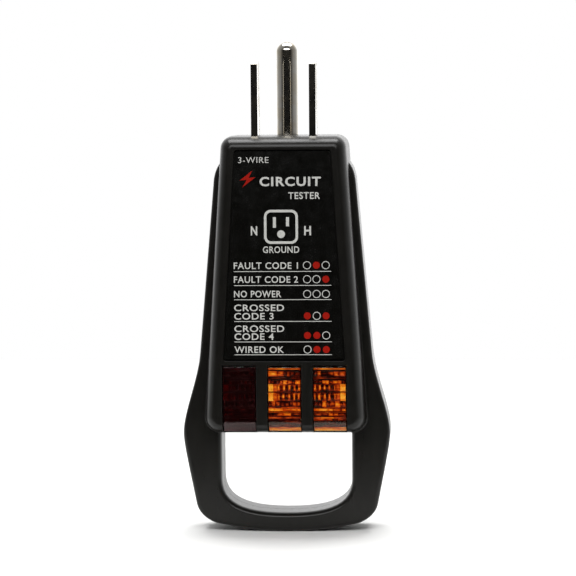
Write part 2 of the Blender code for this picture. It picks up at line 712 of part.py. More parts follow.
def blade(name, x):
    """Flat blade: chamfered tip, shoulder clamped behind the face, drilled solder tail."""
    half = BLADE_WIDTH / 2
    outline = [(half - BLADE_TIP_CHAMFER, BLADE_LENGTH), (half, BLADE_LENGTH - BLADE_TIP_CHAMFER),
               (half, SHOULDER_TOP_Z + SHOULDER_RUNOUT), (SHOULDER_HALF, SHOULDER_TOP_Z),
               (SHOULDER_HALF, SHOULDER_BOTTOM_Z), (TAIL_HALF, SHOULDER_BOTTOM_Z - SHOULDER_RUNOUT),
               (TAIL_HALF, TAIL_END_Z)]
    outline += [(-y, z) for y, z in reversed(outline)]
    mesh = slab_mesh(name, [[(p, p, p) for p in outline]], -BLADE_THICK / 2, BLADE_THICK / 2,
                     steps=1)
    bm = bmesh.new()
    bm.from_mesh(mesh)
    for vert in bm.verts:
        y, thick, z = vert.co
        taper = BLADE_TIP_TAPER if z > (BLADE_LENGTH - SLACK) * MM else 1.0
        vert.co = (-thick * taper + x * MM, y, z)
    bm.to_mesh(mesh)
    bm.free()
    obj = add(name, mesh, NICKEL)
    hole = rod_mesh(f"{name}_eye", EYE_RADIUS, -3, 3, "Z", (0, 0), segments=10)
    for vert in hole.vertices:
        across, up, along = vert.co
        vert.co = (along + x * MM, across, up + (TAIL_END_Z + EYE_RISE) * MM)
    boolean(obj, add(f"{name}_eye", hole, as_cutter=True))


blade("blade_neutral", -BLADE_SPACING / 2)
blade("blade_hot", BLADE_SPACING / 2)

pin_radius = PIN_DIAMETER / 2
dome = [(pin_radius * math.sin(a), PIN_LENGTH - PIN_DOME * (1 - math.cos(a)))
        for a in [math.radians(15 * k) for k in range(7)]]
pin_foot = [(pin_radius, PIN_FLANGE_TOP_Z), (PIN_FLANGE_RADIUS, PIN_FLANGE_TOP_Z),
            (PIN_FLANGE_RADIUS, PIN_FLANGE_BOTTOM_Z), (PIN_TAIL_RADIUS, PIN_FLANGE_BOTTOM_Z),
            (PIN_TAIL_RADIUS, TAIL_END_Z), (0, TAIL_END_Z)]
turned_part("ground_pin", dome + pin_foot, (0, PIN_BACK, 0), NICKEL, steps=24)

carrier = add("prong_carrier",
              box_mesh("prong_carrier", (-CARRIER_HALF, CARRIER_FRONT_Y, CARRIER_BOTTOM_Z),
                       (CARRIER_HALF, CARRIER_REAR_Y, CARRIER_TOP_Z)), NYLON)
for side_name, side in (("left", -1), ("right", 1)):
    x = side * BLADE_SPACING / 2
    cut_box(carrier, f"tail_slot_{side_name}",
            (x - BLADE_THICK / 2 - GAP, -TAIL_HALF - GAP, CARRIER_CUT_Z),
            (x + BLADE_THICK / 2 + GAP, TAIL_HALF + GAP, 0))
    cut_box(carrier, f"carrier_side_{side_name}",
            (side * CARRIER_STEP_HALF, CARRIER_STEP_Y, CARRIER_CUT_Z),
            (side * CARRIER_CUT_HALF, CARRIER_CUT_REAR_Y, 0))
cut_rod(carrier, "pin_tail_hole", PIN_TAIL_RADIUS + GAP, CARRIER_CUT_Z, 0, "Z", (0, PIN_BACK),
        segments=12)
cut_box(carrier, "carrier_relief", (-RELIEF_HALF, CARRIER_FRONT_Y - OVERCUT, CARRIER_CUT_Z),
        (RELIEF_HALF, RELIEF_REAR_Y, RELIEF_TOP_Z))


# ---------------------------------------------------------------- board, lamps and wiring

board = add("circuit_board",
            box_mesh("circuit_board", (-BOARD_HALF, BOARD_FRONT_Y, BOARD_BOTTOM_Z),
                     (BOARD_HALF, BOARD_FRONT_Y + BOARD_THICK, BOARD_TOP_Z)), BOARD)
LEAD_END_Y = BOARD_FRONT_Y + BOARD_THICK + LEAD_STUB


def board_hole(name, x, z, radius):
    cut_rod(board, name, radius, BOARD_FRONT_Y - OVERCUT, BOARD_FRONT_Y + BOARD_THICK + OVERCUT,
            "Y", (x, z), segments=8)


def lead(name, x, z_inside, z_turn, y_run):
    """Tinned lead: along Z at y_run, then back through the board."""
    bend = math.copysign(LEAD_BEND, z_turn - z_inside)
    points = [(x, y_run, z_inside), (x, y_run, z_turn - bend), (x, y_run + LEAD_BEND, z_turn),
              (x, LEAD_END_Y, z_turn)]
    add(name, wire_mesh(name, points, LEAD_RADIUS, sides=1), TINNED)


for number, x in enumerate((-LENS_PITCH, 0, LENS_PITCH), start=1):
    glass_name = f"lamp_glass_{number}"
    height = LAMP_TOP_Z - LAMP_BOTTOM_Z
    inner = LAMP_RADIUS - LAMP_WALL
    outside = [(LAMP_RADIUS * math.cos(a), -height + LAMP_RADIUS * (1 - math.sin(a)))
               for a in [math.radians(22.5 * k) for k in range(5)]]
    inside = [(inner * math.sin(a), -height + LAMP_TIP_WALL + inner * (1 - math.cos(a)))
              for a in [math.radians(22.5 * k) for k in range(5)]]
    turned_part(glass_name, inside + [(inner, 0), (LAMP_RADIUS, 0)] + outside,
                (x, LAMP_Y, LAMP_TOP_Z), GLASS, steps=14)
    for letter, shift in (("a", -LAMP_LEAD_SHIFT), ("b", LAMP_LEAD_SHIFT)):
        lead(f"lamp_lead_{number}{letter}", x + shift, LAMP_BOTTOM_Z + LAMP_LEAD_RISE,
             LAMP_HOLE_Z, LAMP_Y)
        board_hole(f"lamp_hole_{number}{letter}", x + shift, LAMP_HOLE_Z, LEAD_HOLE_RADIUS)

for number, x in enumerate((-RESISTOR_PITCH, 0, RESISTOR_PITCH), start=1):
    name = f"resistor_{number}"
    top, bottom = RESISTOR_HOLES
    centre = (top + bottom) / 2
    body = turned_part(name, RESISTOR_PROFILE, (x, RESISTOR_Y, centre), CERAMIC, steps=12)
    turn_y = RESISTOR_Y + LEAD_BEND
    points = [(x, LEAD_END_Y, top), (x, turn_y, top), (x, RESISTOR_Y, top - LEAD_BEND),
              (x, RESISTOR_Y, bottom + LEAD_BEND), (x, turn_y, bottom), (x, LEAD_END_Y, bottom)]
    leads = wire_mesh(f"{name}_leads", points, LEAD_RADIUS, sides=1)
    boolean(body, add(f"{name}_leads", leads, as_cutter=True), "UNION")
    for word, z in (("top", top), ("bottom", bottom)):
        board_hole(f"{name}_hole_{word}", x, z, LEAD_HOLE_RADIUS)


def supply_wire(name, start, hole_x, from_front, mat):
    """Insulated wire: from under a prong's tail, in an easy curve, into its board hole."""
    x0, y0, z0 = start
    y_face = BOARD_FRONT_Y if from_front else BOARD_FRONT_Y + BOARD_THICK
    outward = -1 if from_front else 1
    y_run = y_face + outward * WIRE_STAND_OFF
    y_end = y_face - outward * BOARD_THICK
    corners = [(x0, y0, z0), (x0, y0, z0 - WIRE_DROP), (hole_x, y_run, WIRE_HOLE_Z + WIRE_RISE),
               (hole_x, y_run, WIRE_HOLE_Z), (hole_x, y_face, WIRE_HOLE_Z)]
    points = []
    for step in range(WIRE_STEPS + 1):
        t = step / WIRE_STEPS
        weights = [math.comb(4, k) * t ** k * (1 - t) ** (4 - k) for k in range(5)]
        points.append([sum(w * corner[axis] for w, corner in zip(weights, corners))
                       for axis in range(3)])
    points.append((hole_x, y_end, WIRE_HOLE_Z))
    add(name, wire_mesh(name, points, WIRE_RADIUS), mat)
    board_hole(f"{name}_hole", hole_x, WIRE_HOLE_Z, WIRE_RADIUS + GAP + WIRE_HOLE_PLAY)


WIRE_TOP_Z = TAIL_END_Z - GAP
supply_wire("wire_neutral", (-BLADE_SPACING / 2, 0, WIRE_TOP_Z), -WIRE_HOLE_X, True, WIRE_WHITE)
supply_wire("wire_hot", (BLADE_SPACING / 2, 0, WIRE_TOP_Z), WIRE_HOLE_X, True, WIRE_BLACK)
supply_wire("wire_ground", (0, PIN_BACK, WIRE_TOP_Z), 0, False, WIRE_GREEN)

# White reflector with one bay behind each window
reflector = add("lamp_reflector",
                box_mesh("lamp_reflector", (-REFLECTOR_HALF, LENS_BACK_Y + GAP, REFLECTOR_BOTTOM_Z),
                         (REFLECTOR_HALF, BOARD_FRONT_Y - GAP, REFLECTOR_TOP_Z)), REFLECTOR)
for number, x in enumerate((-LENS_PITCH, 0, LENS_PITCH), start=1):
    cut_box(reflector, f"reflector_bay_{number}", (x - BAY_HALF, FACE_Y, BAY_BOTTOM_Z),
            (x + BAY_HALF, BAY_REAR_Y, BAY_TOP_Z))
    cut_box(reflector, f"reflector_slot_{number}", (x - BAY_SLOT_HALF, FACE_Y, BAY_TOP_Z - OVERCUT),
            (x + BAY_SLOT_HALF, BAY_REAR_Y, REFLECTOR_TOP_Z + OVERCUT))


# ---------------------------------------------------------------- screws

for place, (x, z) in SCREW_PLACES.items():
    is_upper = place.startswith("upper")
    seat = (REAR_Y if is_upper else FRAME_REAR_Y) - SCREW_HEAD_SINK
    tip = (FACE_Y if is_upper else FRAME_FRONT_Y) + SCREW_TIP_DEPTH
    shank = seat - SCREW_HEAD_THICK
    profile = [(0, seat), (SCREW_HEAD_RADIUS - SCREW_HEAD_EDGE, seat),
               (SCREW_HEAD_RADIUS, seat - SCREW_HEAD_EDGE), (SCREW_HEAD_RADIUS, shank),
               (SCREW_RADIUS, shank), (SCREW_RADIUS, tip + SCREW_POINT),
               (SCREW_POINT_RADIUS, tip), (0, tip)]
    screw_body = turned_part(f"screw_{place}", profile, (x, 0, z), SCREW_STEEL, steps=16)
    screw_body.rotation_euler = (-math.pi / 2, 0, 0)
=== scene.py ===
"""Looks of the outlet tester plug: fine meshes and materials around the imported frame.

Sizes below are in millimetres, like the frame's own design, and MM turns them into metres.
"""

import math
import random

import bmesh
import bpy
from mathutils import Matrix, Vector


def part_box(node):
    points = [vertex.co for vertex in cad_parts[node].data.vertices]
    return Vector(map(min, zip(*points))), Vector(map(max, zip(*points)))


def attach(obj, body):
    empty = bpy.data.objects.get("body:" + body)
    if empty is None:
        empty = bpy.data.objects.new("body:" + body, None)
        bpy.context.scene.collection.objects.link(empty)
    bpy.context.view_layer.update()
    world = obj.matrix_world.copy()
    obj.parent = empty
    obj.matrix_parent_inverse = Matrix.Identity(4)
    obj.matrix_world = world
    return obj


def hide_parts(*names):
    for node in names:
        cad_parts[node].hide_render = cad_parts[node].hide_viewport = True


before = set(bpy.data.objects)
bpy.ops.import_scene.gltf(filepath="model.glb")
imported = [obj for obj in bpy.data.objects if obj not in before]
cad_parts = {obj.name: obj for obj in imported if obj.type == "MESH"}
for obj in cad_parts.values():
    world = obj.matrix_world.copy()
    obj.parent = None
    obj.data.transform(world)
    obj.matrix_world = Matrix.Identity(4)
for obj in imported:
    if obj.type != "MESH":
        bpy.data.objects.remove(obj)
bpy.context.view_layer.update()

MM = 0.001


def corner(node, end, axis):
    """One coordinate of a CAD node's box in millimetres; end is 0 for low, 1 for high."""
    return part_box(node)[end][axis] / MM


# Planes read from the frame
FACE_Y = corner("front_shell", 0, 1)
REAR_Y = corner("rear_shell", 1, 1)
PARTING_Y = corner("rear_shell", 0, 1) - 0.15
BASE_Z = corner("front_shell", 0, 2)
LABEL_FRONT_Y = corner("legend_label", 0, 1)
LABEL_BACK_Y = corner("legend_label", 1, 1)
LENS_FRONT_Y = corner("lens_red", 0, 1)
LENS_BACK_Y = corner("lens_red", 1, 1)
LENS_BOTTOM_Z = corner("lens_red", 0, 2)
BLADE_TOP_Z = corner("blade_hot", 1, 2)
PIN_TOP_Z = corner("ground_pin", 1, 2)

# Casing, as in the frame's design
FRAME_FRONT_Y = -1.45
FRAME_REAR_Y = 2 * PARTING_Y - FRAME_FRONT_Y
WALL = 2.0
GAP = 0.3
# The seam outside is finer than the frame's gap, and a tongue inside closes it to light
SEAM_FRONT_Y = PARTING_Y - 0.06
SEAM_REAR_Y = PARTING_Y + 0.06
LIP_INSET = 0.6
LIP_HEIGHT = 0.8
ARM_LIP_HEIGHT = 0.6
LIP_PLAY = 0.1
PRONG_PLAY = 0.07
# Heights between which the prongs' openings are cut through the top wall
SLOT_LOW_Z = -4
SLOT_HIGH_Z = 2
BODY_BOTTOM_Z = -65.1
BODY_TOP_HALF = 13.95
BODY_BOTTOM_HALF = 18.25
BODY_DRAFT = 0.7
BODY_TOP_CORNER = 2.6
BODY_BOTTOM_CORNER = 3.3
CORNER_SHRINK = 0.75
# The body's flanks lean in by a draft, and all its sides end in a quarter ellipse onto each face
CREASE_DRAFT = 0.22
CREASE_DEPTH = 0.4
EDGE_DRAFT = 0.36
EDGE_DEPTH = 4.4
EDGE_WIDTH = 2.35
EDGE_STEPS = 10
CORNER_STEPS = 8
CAVITY_TOP_Z = -2.4
CAVITY_BOTTOM_Z = BODY_BOTTOM_Z + 2.3
CAVITY_CORNER = 1.0
FRAME_EDGE = 1.0
FILLET = 0.45
RIM = 0.12
OPENING_HALF = 14.4
OPENING_CORNER = 0.9
OPENING_SIDE_END_Z = -76.0
OPENING_BOTTOM_Z = -83.55
OPENING_EDGE = 1.0
OPENING_EDGE_STRETCH = 1.8
SQUARENESS = 0.7
LABEL_TOP_Z = -3.2
LABEL_BOTTOM_Z = -48.5
LABEL_TOP_HALF = 10.2
LABEL_BOTTOM_HALF = 13.05
LABEL_MARGIN = 0.3
RECESS_CORNER = 0.6
RIDGE_Z = LABEL_BOTTOM_Z - 0.45
RIDGE_EDGE = 0.4
LENS_PITCH = 9.9
LENS_WIDTH = 7.15
LENS_TOP_Z = -50.1
LENS_CHAMFER = 2.3
LENS_SKIN = 0.3
LENS_SIDE_SKIN = 0.07
LENS_RIM = 0.16
# How far the flange goes past the window's sides and top, and starts above its lower edge
LENS_FLANGE_SIDE = 0.7
LENS_FLANGE_TOP = 0.9
LENS_FLANGE_FOOT = 2.6
# Gaps between the prisms and the skin in front of, beside and behind them
PRISM_FRONT_PLAY = 0.04
PRISM_SIDE_PLAY = 0.02
PRISM_BACK_PLAY = 0.1
# Share of the chamfer's height that lies above its lower band of painted glow
CHAMFER_SPLIT = 0.62
BLADE_SPACING = 12.7
BLADE_WIDTH = 6.35
BLADE_THICK = 1.5
BLADE_TIP_CHAMFER = 0.9
TAIL_END_Z = -16.2
PIN_DIAMETER = 4.75
PIN_BACK = 11.9
SCREW_RADIUS = 1.3
SCREW_HEAD_RADIUS = 2.4
SCREW_HEAD_THICK = 1.8
SCREW_SINK = 0.9
SCREW_BLIND_WALL = 2.2
# Ends of the screw bores' tools, past the seam on either side
BORE_START_Y = 3
BORE_END_Y = 6
BOSS_RADIUS = 2.7
REAR_BOSS_EXTRA = 0.9
REAR_BOSS_SHIFT = 0.985
# The cored-out slots in the handle arms: their middles, and corners as (offset, height)
POCKET_X = 17.9
POCKET_CORNERS = [(1.8, -71.5), (1.3, -79.0), (-1.7, -79.0), (-1.6, -71.5)]
POCKET_CORNER_RADIUS = 1.2
# Reach of a tool that takes away everything on one side of the seam
BEYOND_HALF = 30
BEYOND_LOW_Z = -95
BEYOND_HIGH_Z = 5
SCREW_PLACES = {"upper_left": (-10.3, -21.5), "upper_right": (10.3, -21.5),
                "lower_left": (-18.5, -66.5), "lower_right": (18.5, -66.5)}

# Camera, fitted to the standard sizes of the prongs; its place and distance are in metres
CAMERA_AZIMUTH = 3.55
CAMERA_ELEVATION = 4.84
CAMERA_ROLL = -0.48
CAMERA_DISTANCE = 0.5265
CAMERA_TARGET = (0.00053, 0.0, -0.03351)
CAMERA_LENS = 149.25
SENSOR_WIDTH = 36.0

# Ends of the resistors' colour bands
RESISTOR_LOW_Z = -44.0
RESISTOR_HIGH_Z = -37.4

# Studio brightness from straight in front (0) through the sides (0.5) to straight behind (1)
WORLD_LEVELS = [(0.0, 0.008), (0.12, 0.01), (0.22, 0.11), (0.36, 0.28), (0.65, 0.4),
                (0.9, 0.95), (1.0, 1.9)]
WORLD_PEAK = 2.0
FLOOR_FRONT = -60.0
FLOOR_BACK = 330.0
FLOOR_SIDE = 400.0
FLOOR_COLOUR = (0.8, 0.8, 0.79)
FLOOR_THICK = 6
FLOOR_DROP = 0.02
# Soft boxes in metres and watts: place, size and power; all are aimed at LIGHT_TARGET
LIGHTS = {"softbox_key": ((0.0, -0.45, 0.3), (0.6, 0.3), 3.0),
          "softbox_top": ((0.0, 0.14, 0.5), (0.55, 0.3), 4.4)}
LIGHT_TARGET = (0, 0, -0.04)


# ---- camera, light and floor

def add_object(name, data):
    """New object, linked to the scene."""
    obj = bpy.data.objects.new(name, data)
    bpy.context.scene.collection.objects.link(obj)
    return obj


def make_camera():
    azimuth = math.radians(CAMERA_AZIMUTH)
    elevation = math.radians(CAMERA_ELEVATION)
    away = Vector((math.sin(azimuth) * math.cos(elevation),
                   -math.cos(azimuth) * math.cos(elevation), math.sin(elevation)))
    data = bpy.data.cameras.new("camera")
    data.lens = CAMERA_LENS
    data.sensor_width = SENSOR_WIDTH
    data.clip_start = 0.02
    camera = add_object("camera", data)
    look = (-away).to_track_quat("-Z", "Y").to_matrix()
    roll = Matrix.Rotation(math.radians(CAMERA_ROLL), 3, "Z")
    camera.rotation_euler = (look @ roll).to_euler()
    camera.location = Vector(CAMERA_TARGET) + away * CAMERA_DISTANCE
    bpy.context.scene.camera = camera


def make_light(name, place, size, power):
    data = bpy.data.lights.new(name, "AREA")
    data.shape = "RECTANGLE"
    data.size, data.size_y = size
    data.energy = power
    light = add_object(name, data)
    light.location = place
    aim = Vector(LIGHT_TARGET) - Vector(place)
    light.rotation_euler = aim.to_track_quat("-Z", "Y").to_euler()


def add_node(tree, kind, inputs=()):
    """New shader node; inputs pairs its sockets with values or with other nodes' outputs."""
    node = tree.nodes.new(kind)
    for socket, value in dict(inputs).items():
        if isinstance(value, bpy.types.NodeSocket):
            tree.links.new(value, node.inputs[socket])
        else:
            node.inputs[socket].default_value = value
    return node


def fill_ramp(node, stops):
    """Give a ramp node its stops, as (position, colour) pairs in rising order."""
    elements = node.color_ramp.elements
    while len(elements) < len(stops):
        elements.new(0.5)
    for element, (position, colour) in zip(elements, stops):
        element.position = position
        element.color = (*colour, 1.0)


def make_world():
    """Studio that is bright behind the object, grey beside it and dark in front of it.

    The camera itself sees plain white in place of the studio.
    """
    world = bpy.data.worlds.new("studio")
    bpy.context.scene.world = world
    world.use_nodes = True
    tree = world.node_tree
    tree.nodes.clear()
    place = add_node(tree, "ShaderNodeTexCoord")
    split = add_node(tree, "ShaderNodeSeparateXYZ", {"Vector": place.outputs["Generated"]})
    turn = add_node(tree, "ShaderNodeMapRange",
                    {"Value": split.outputs["Y"], "From Min": -1.0})
    fade = add_node(tree, "ShaderNodeValToRGB", {"Fac": turn.outputs["Result"]})
    fill_ramp(fade, [(at, (level / WORLD_PEAK,) * 3) for at, level in WORLD_LEVELS])
    power = add_node(tree, "ShaderNodeMath", {0: fade.outputs["Color"], 1: WORLD_PEAK})
    power.operation = "MULTIPLY"
    seen = add_node(tree, "ShaderNodeLightPath")
    plain = add_node(tree, "ShaderNodeMix", {"Factor": seen.outputs["Is Camera Ray"],
                                             "A": power.outputs["Value"], "B": 1.0})
    shine = add_node(tree, "ShaderNodeBackground", {"Color": (1.0, 1.0, 1.0, 1.0),
                                                    "Strength": plain.outputs["Result"]})
    add_node(tree, "ShaderNodeOutputWorld", {"Surface": shine.outputs["Background"]})


# ---- materials

class Shader:
    """A Principled material with short calls for the node patterns used here."""

    def __init__(self, name, colour, roughness, metallic=0.0, specular=0.5):
        self.material = bpy.data.materials.new(name)
        self.material.use_nodes = True
        self.tree = self.material.node_tree
        self.principled = self.tree.nodes["Principled BSDF"]
        self.principled.inputs["Base Color"].default_value = (*colour, 1.0)
        self.principled.inputs["Roughness"].default_value = roughness
        self.principled.inputs["Metallic"].default_value = metallic
        self.principled.inputs["Specular IOR Level"].default_value = specular
        self.place = add_node(self.tree, "ShaderNodeTexCoord").outputs["Object"]
        self.last_bump = None

    def noise(self, scale, stretch=(1, 1, 1), detail=4.0, rough=0.55):
        """Noise over the object's own coordinates; scale is in cycles per metre."""
        mapping = add_node(self.tree, "ShaderNodeMapping",
                           {"Vector": self.place, "Scale": stretch})
        noise = add_node(self.tree, "ShaderNodeTexNoise",
                         {"Vector": mapping.outputs["Vector"], "Scale": scale,
                          "Detail": detail, "Roughness": rough})
        return noise.outputs["Fac"]

    def spread(self, value, low, high, to_low, to_high):
        """Map a value's band to another, clamped at both ends."""
        node = add_node(self.tree, "ShaderNodeMapRange",
                        {"Value": value, "From Min": low, "From Max": high,
                         "To Min": to_low, "To Max": to_high})
        return node.outputs["Result"]

    def ramp(self, value, stops):
        node = add_node(self.tree, "ShaderNodeValToRGB", {"Fac": value})
        fill_ramp(node, stops)
        return node.outputs["Color"]

    def feed(self, socket, output):
        self.tree.links.new(output, self.principled.inputs[socket])

    def bump(self, height, depth, strength=1.0):
        """Add a bump; depth is the height's full swing in metres."""
        node = add_node(self.tree, "ShaderNodeBump",
                        {"Height": height, "Distance": depth, "Strength": strength})
        if self.last_bump:
            self.tree.links.new(self.last_bump, node.inputs["Normal"])
        self.last_bump = node.outputs["Normal"]
        self.feed("Normal", self.last_bump)


def floor_paper():
    """Plain matt white paper; its only shadow is the one that the lights cast."""
    s = Shader("floor_paper", FLOOR_COLOUR, 0.75, specular=0.2)
    s.bump(s.noise(400), 0.00002, 0.2)
    return s.material


def moulded_abs():
    """Black ABS with a fine spark-eroded grain, faint mottling and handling scuffs."""
    s = Shader("abs_black_satin", (0.0066, 0.0062, 0.0052), 0.3, specular=0.28)
    mottle = s.noise(240, detail=3)
    scuffs = s.noise(900, stretch=(1, 1, 0.12), detail=6, rough=0.7)
    s.feed("Base Color", s.ramp(mottle, [(0.3, (0.0056, 0.0052, 0.0043)),
                                         (0.72, (0.0083, 0.0077, 0.0064))]))
    s.feed("Roughness", s.spread(scuffs, 0.32, 0.72, 0.34, 0.26))
    s.bump(s.noise(5200, detail=2), 0.000012, 0.5)
    s.bump(s.noise(700, detail=2), 0.00002, 0.35)
    return s.material


def label_film():
    """Over-laminated black label film, slightly orange-peeled."""
    s = Shader("label_film_black", (0.0022, 0.0021, 0.0016), 0.22)
    s.feed("Roughness", s.spread(s.noise(600), 0.3, 0.7, 0.18, 0.28))
    s.bump(s.noise(1500, detail=2), 0.000006, 0.4)
    return s.material


def ink(name, colour):
    """Screen-printed ink with slightly uneven cover."""
    s = Shader(name, colour, 0.4, specular=0.15)
    thin = tuple(channel * 0.8 for channel in colour)
    s.feed("Base Color", s.ramp(s.noise(4200, detail=3), [(0.32, thin), (0.5, colour)]))
    s.bump(s.noise(9000, detail=1), 0.000004, 0.4)
    return s.material


def plated(name, colour, roughness, lay=(1, 1, 0.03)):
    """Plated metal with fine lines along its lay and dull, slightly warmer patches."""
    s = Shader(name, colour, roughness, metallic=1.0)
    lines = s.noise(3800, stretch=lay, detail=3)
    dull = s.noise(420, detail=4)
    warm = tuple(channel * shade for channel, shade in zip(colour, (0.92, 0.86, 0.76)))
    s.feed("Base Color", s.ramp(dull, [(0.35, warm), (0.6, colour)]))
    s.feed("Roughness", s.spread(dull, 0.35, 0.7, roughness * 1.5, roughness * 0.8))
    s.bump(lines, 0.0000015, 0.2)
    return s.material


def plain_plastic(name, colour, roughness):
    """Moulded or extruded plastic of an inner part, with slight mottling and grain."""
    s = Shader(name, colour, roughness)
    pale = tuple(min(1.0, channel * 1.12) for channel in colour)
    s.feed("Base Color", s.ramp(s.noise(350), [(0.35, colour), (0.7, pale)]))
    s.bump(s.noise(2600, detail=2), 0.00001, 0.4)
    return s.material


def board_laminate():
    """Green solder mask over woven glass."""
    s = Shader("board_laminate", (0.02, 0.14, 0.05), 0.35)
    wave = add_node(s.tree, "ShaderNodeTexWave",
                    {"Vector": s.place, "Scale": 1800, "Distortion": 1.5})
    wave.bands_direction = "X"
    s.feed("Base Color", s.ramp(wave.outputs["Fac"], [(0.2, (0.016, 0.12, 0.04)),
                                                      (0.8, (0.03, 0.19, 0.07))]))
    s.bump(wave.outputs["Fac"], 0.000008, 0.5)
    return s.material


def resistor_lacquer():
    """Tan resistor body with colour bands round its axis."""
    tan = (0.62, 0.46, 0.28)
    stripes = [(0.12, (0.75, 0.55, 0.1)), (0.42, (0.85, 0.75, 0.05)), (0.6, (0.25, 0.03, 0.3)),
               (0.8, (0.8, 0.6, 0.02))]
    s = Shader("resistor_lacquer", tan, 0.4)
    split = add_node(s.tree, "ShaderNodeSeparateXYZ", {"Vector": s.place})
    along = s.spread(split.outputs["Z"], RESISTOR_LOW_Z * MM, RESISTOR_HIGH_Z * MM, 0.0, 1.0)
    bands = [(0.0, tan)]
    for start, paint in stripes:
        bands += [(start, paint), (start + 0.08, tan)]
    colour = s.ramp(along, bands)
    colour.node.color_ramp.interpolation = "CONSTANT"
    s.feed("Base Color", colour)
    s.bump(s.noise(2500), 0.00001, 0.4)
    return s.material


def clear_skin(name, tint):
    """Polished clear plastic: tinted see-through with a glossy surface."""
    material = bpy.data.materials.new(name)
    material.use_nodes = True
    tree = material.node_tree
    tree.nodes.clear()
    place = add_node(tree, "ShaderNodeTexCoord")
    noise = add_node(tree, "ShaderNodeTexNoise",
                     {"Vector": place.outputs["Object"], "Scale": 500})
    bump = add_node(tree, "ShaderNodeBump", {"Height": noise.outputs["Fac"],
                                             "Distance": 0.000006, "Strength": 0.15})
    through = add_node(tree, "ShaderNodeBsdfTransparent", {"Color": (*tint, 1.0)})
    gloss = add_node(tree, "ShaderNodeBsdfGlossy",
                     {"Color": (1, 1, 1, 1), "Roughness": 0.06,
                      "Normal": bump.outputs["Normal"]})
    facing = add_node(tree, "ShaderNodeLayerWeight")
    grazing = add_node(tree, "ShaderNodeMath", {0: facing.outputs["Facing"], 1: 5.0})
    grazing.operation = "POWER"
    mirror = add_node(tree, "ShaderNodeMapRange",
                      {"Value": grazing.outputs["Value"], "To Min": 0.045})
    mix = add_node(tree, "ShaderNodeMixShader",
                   {"Fac": mirror.outputs["Result"], 1: through.outputs["BSDF"],
                    2: gloss.outputs["BSDF"]})
    add_node(tree, "ShaderNodeOutputMaterial", {"Surface": mix.outputs["Shader"]})
    return material


def prism_plastic(name, stops):
    """Coloured facets inside a lamp window; each facet carries its own painted lightness, which
    paints the glints and shade that the prisms throw.
    """
    s = Shader(name, stops[-1][1], 0.3, specular=0.06)
    light = add_node(s.tree, "ShaderNodeAttribute")
    light.attribute_name = "facet_painted_light"
    # Random streaks added to the facets' painted light and shade
    streaks = s.noise(900, stretch=(0.5, 1, 2.2), detail=3)
    add = add_node(s.tree, "ShaderNodeMath", {0: light.outputs["Fac"],
                                              1: s.spread(streaks, 0.3, 0.7, -0.22, 0.22)})
    add.operation = "ADD"
    s.feed("Base Color", s.ramp(add.outputs["Value"], stops))
    s.bump(s.noise(2600, detail=2), 0.00003, 0.6)
    return s.material


# ---- mesh building blocks

scratch = bpy.data.collections.new("scratch")
bpy.context.scene.collection.children.link(scratch)


def piece(name, mesh, material, slot, *nodes, body="root"):
    """Link a finished mesh as a piece that rides on a body and stands for CAD nodes."""
    obj = add_object(name, mesh)
    mesh.materials.clear()
    mesh.materials.append(material)
    even = obj.modifiers.new("even_shading", "WEIGHTED_NORMAL")
    even.keep_sharp = True
    even.weight = 60
    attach(obj, body)
    if nodes:
        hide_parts(*nodes)
    return obj


def smooth(mesh, angle):
    mesh.shade_smooth()
    mesh.set_sharp_from_angle(angle=math.radians(angle))
    return mesh


def evaluated(obj):
    graph = bpy.context.evaluated_depsgraph_get()
    return bpy.data.meshes.new_from_object(obj.evaluated_get(graph))


def combine(mesh, steps):
    """Run Booleans on a mesh; steps are (operation, tool mesh) pairs."""
    base = bpy.data.objects.new("base", mesh)
    scratch.objects.link(base)
    tools = []
    for operation, tool_mesh in steps:
        tool = bpy.data.objects.new("tool", tool_mesh)
        scratch.objects.link(tool)
        tools.append(tool)
        mod = base.modifiers.new(operation, "BOOLEAN")
        mod.operation = operation
        mod.solver = "EXACT"
        mod.object = tool
    result = evaluated(base)
    for obj in tools + [base]:
        bpy.data.objects.remove(obj)
    return result


def closed(bm, name):
    """Turn a finished bmesh into a mesh and free it."""
    mesh = bpy.data.meshes.new(name)
    bm.to_mesh(mesh)
    bm.free()
    return mesh


def cuts(tools):
    return [("DIFFERENCE", tool) for tool in tools]


def edit(mesh, change):
    """Open a mesh in bmesh, apply a change and write it back."""
    bm = bmesh.new()
    bm.from_mesh(mesh)
    change(bm)
    bm.to_mesh(mesh)
    bm.free()
    return mesh


def bevel_edges(mesh, chooser, width, segments=3, clamp=False, after=None):
    """Round the edges that a chooser picks by their two ends and faces."""
    def change(bm):
        bm.normal_update()
        chosen = [edge for edge in bm.edges if len(edge.link_faces) == 2 and chooser(edge)]
        if chosen:
            made = bmesh.ops.bevel(bm, geom=chosen, offset=width * MM, segments=segments,
                                   profile=0.5, affect="EDGES", clamp_overlap=clamp,
                                   miter_outer="ARC")
            if after:
                after(made["verts"])
    return edit(mesh, change)


def on_plane(edge, axis, value, slack=0.002):
    return all(abs(vert.co[axis] - value * MM) < slack * MM for vert in edge.verts)


def box_mesh(low, high):
    bm = bmesh.new()
    bmesh.ops.create_cube(bm, size=1.0)
    for vert in bm.verts:
        for axis in range(3):
            middle = (low[axis] + high[axis]) / 2
            size = abs(high[axis] - low[axis])
            vert.co[axis] = (middle + vert.co[axis] * size) * MM
    return closed(bm, "box")


def rod_mesh(radius, start, end, across, along_z=False, segments=32):
    bm = bmesh.new()
    bmesh.ops.create_cone(bm, cap_ends=True, segments=segments, radius1=radius * MM,
                          radius2=radius * MM, depth=abs(end - start) * MM)
    middle = (start + end) / 2
    for vert in bm.verts:
        x, y, z = vert.co
        if along_z:
            vert.co = (x + across[0] * MM, y + across[1] * MM, z + middle * MM)
        else:
            vert.co = (x + across[0] * MM, -z + middle * MM, y + across[1] * MM)
    return closed(bm, "rod")


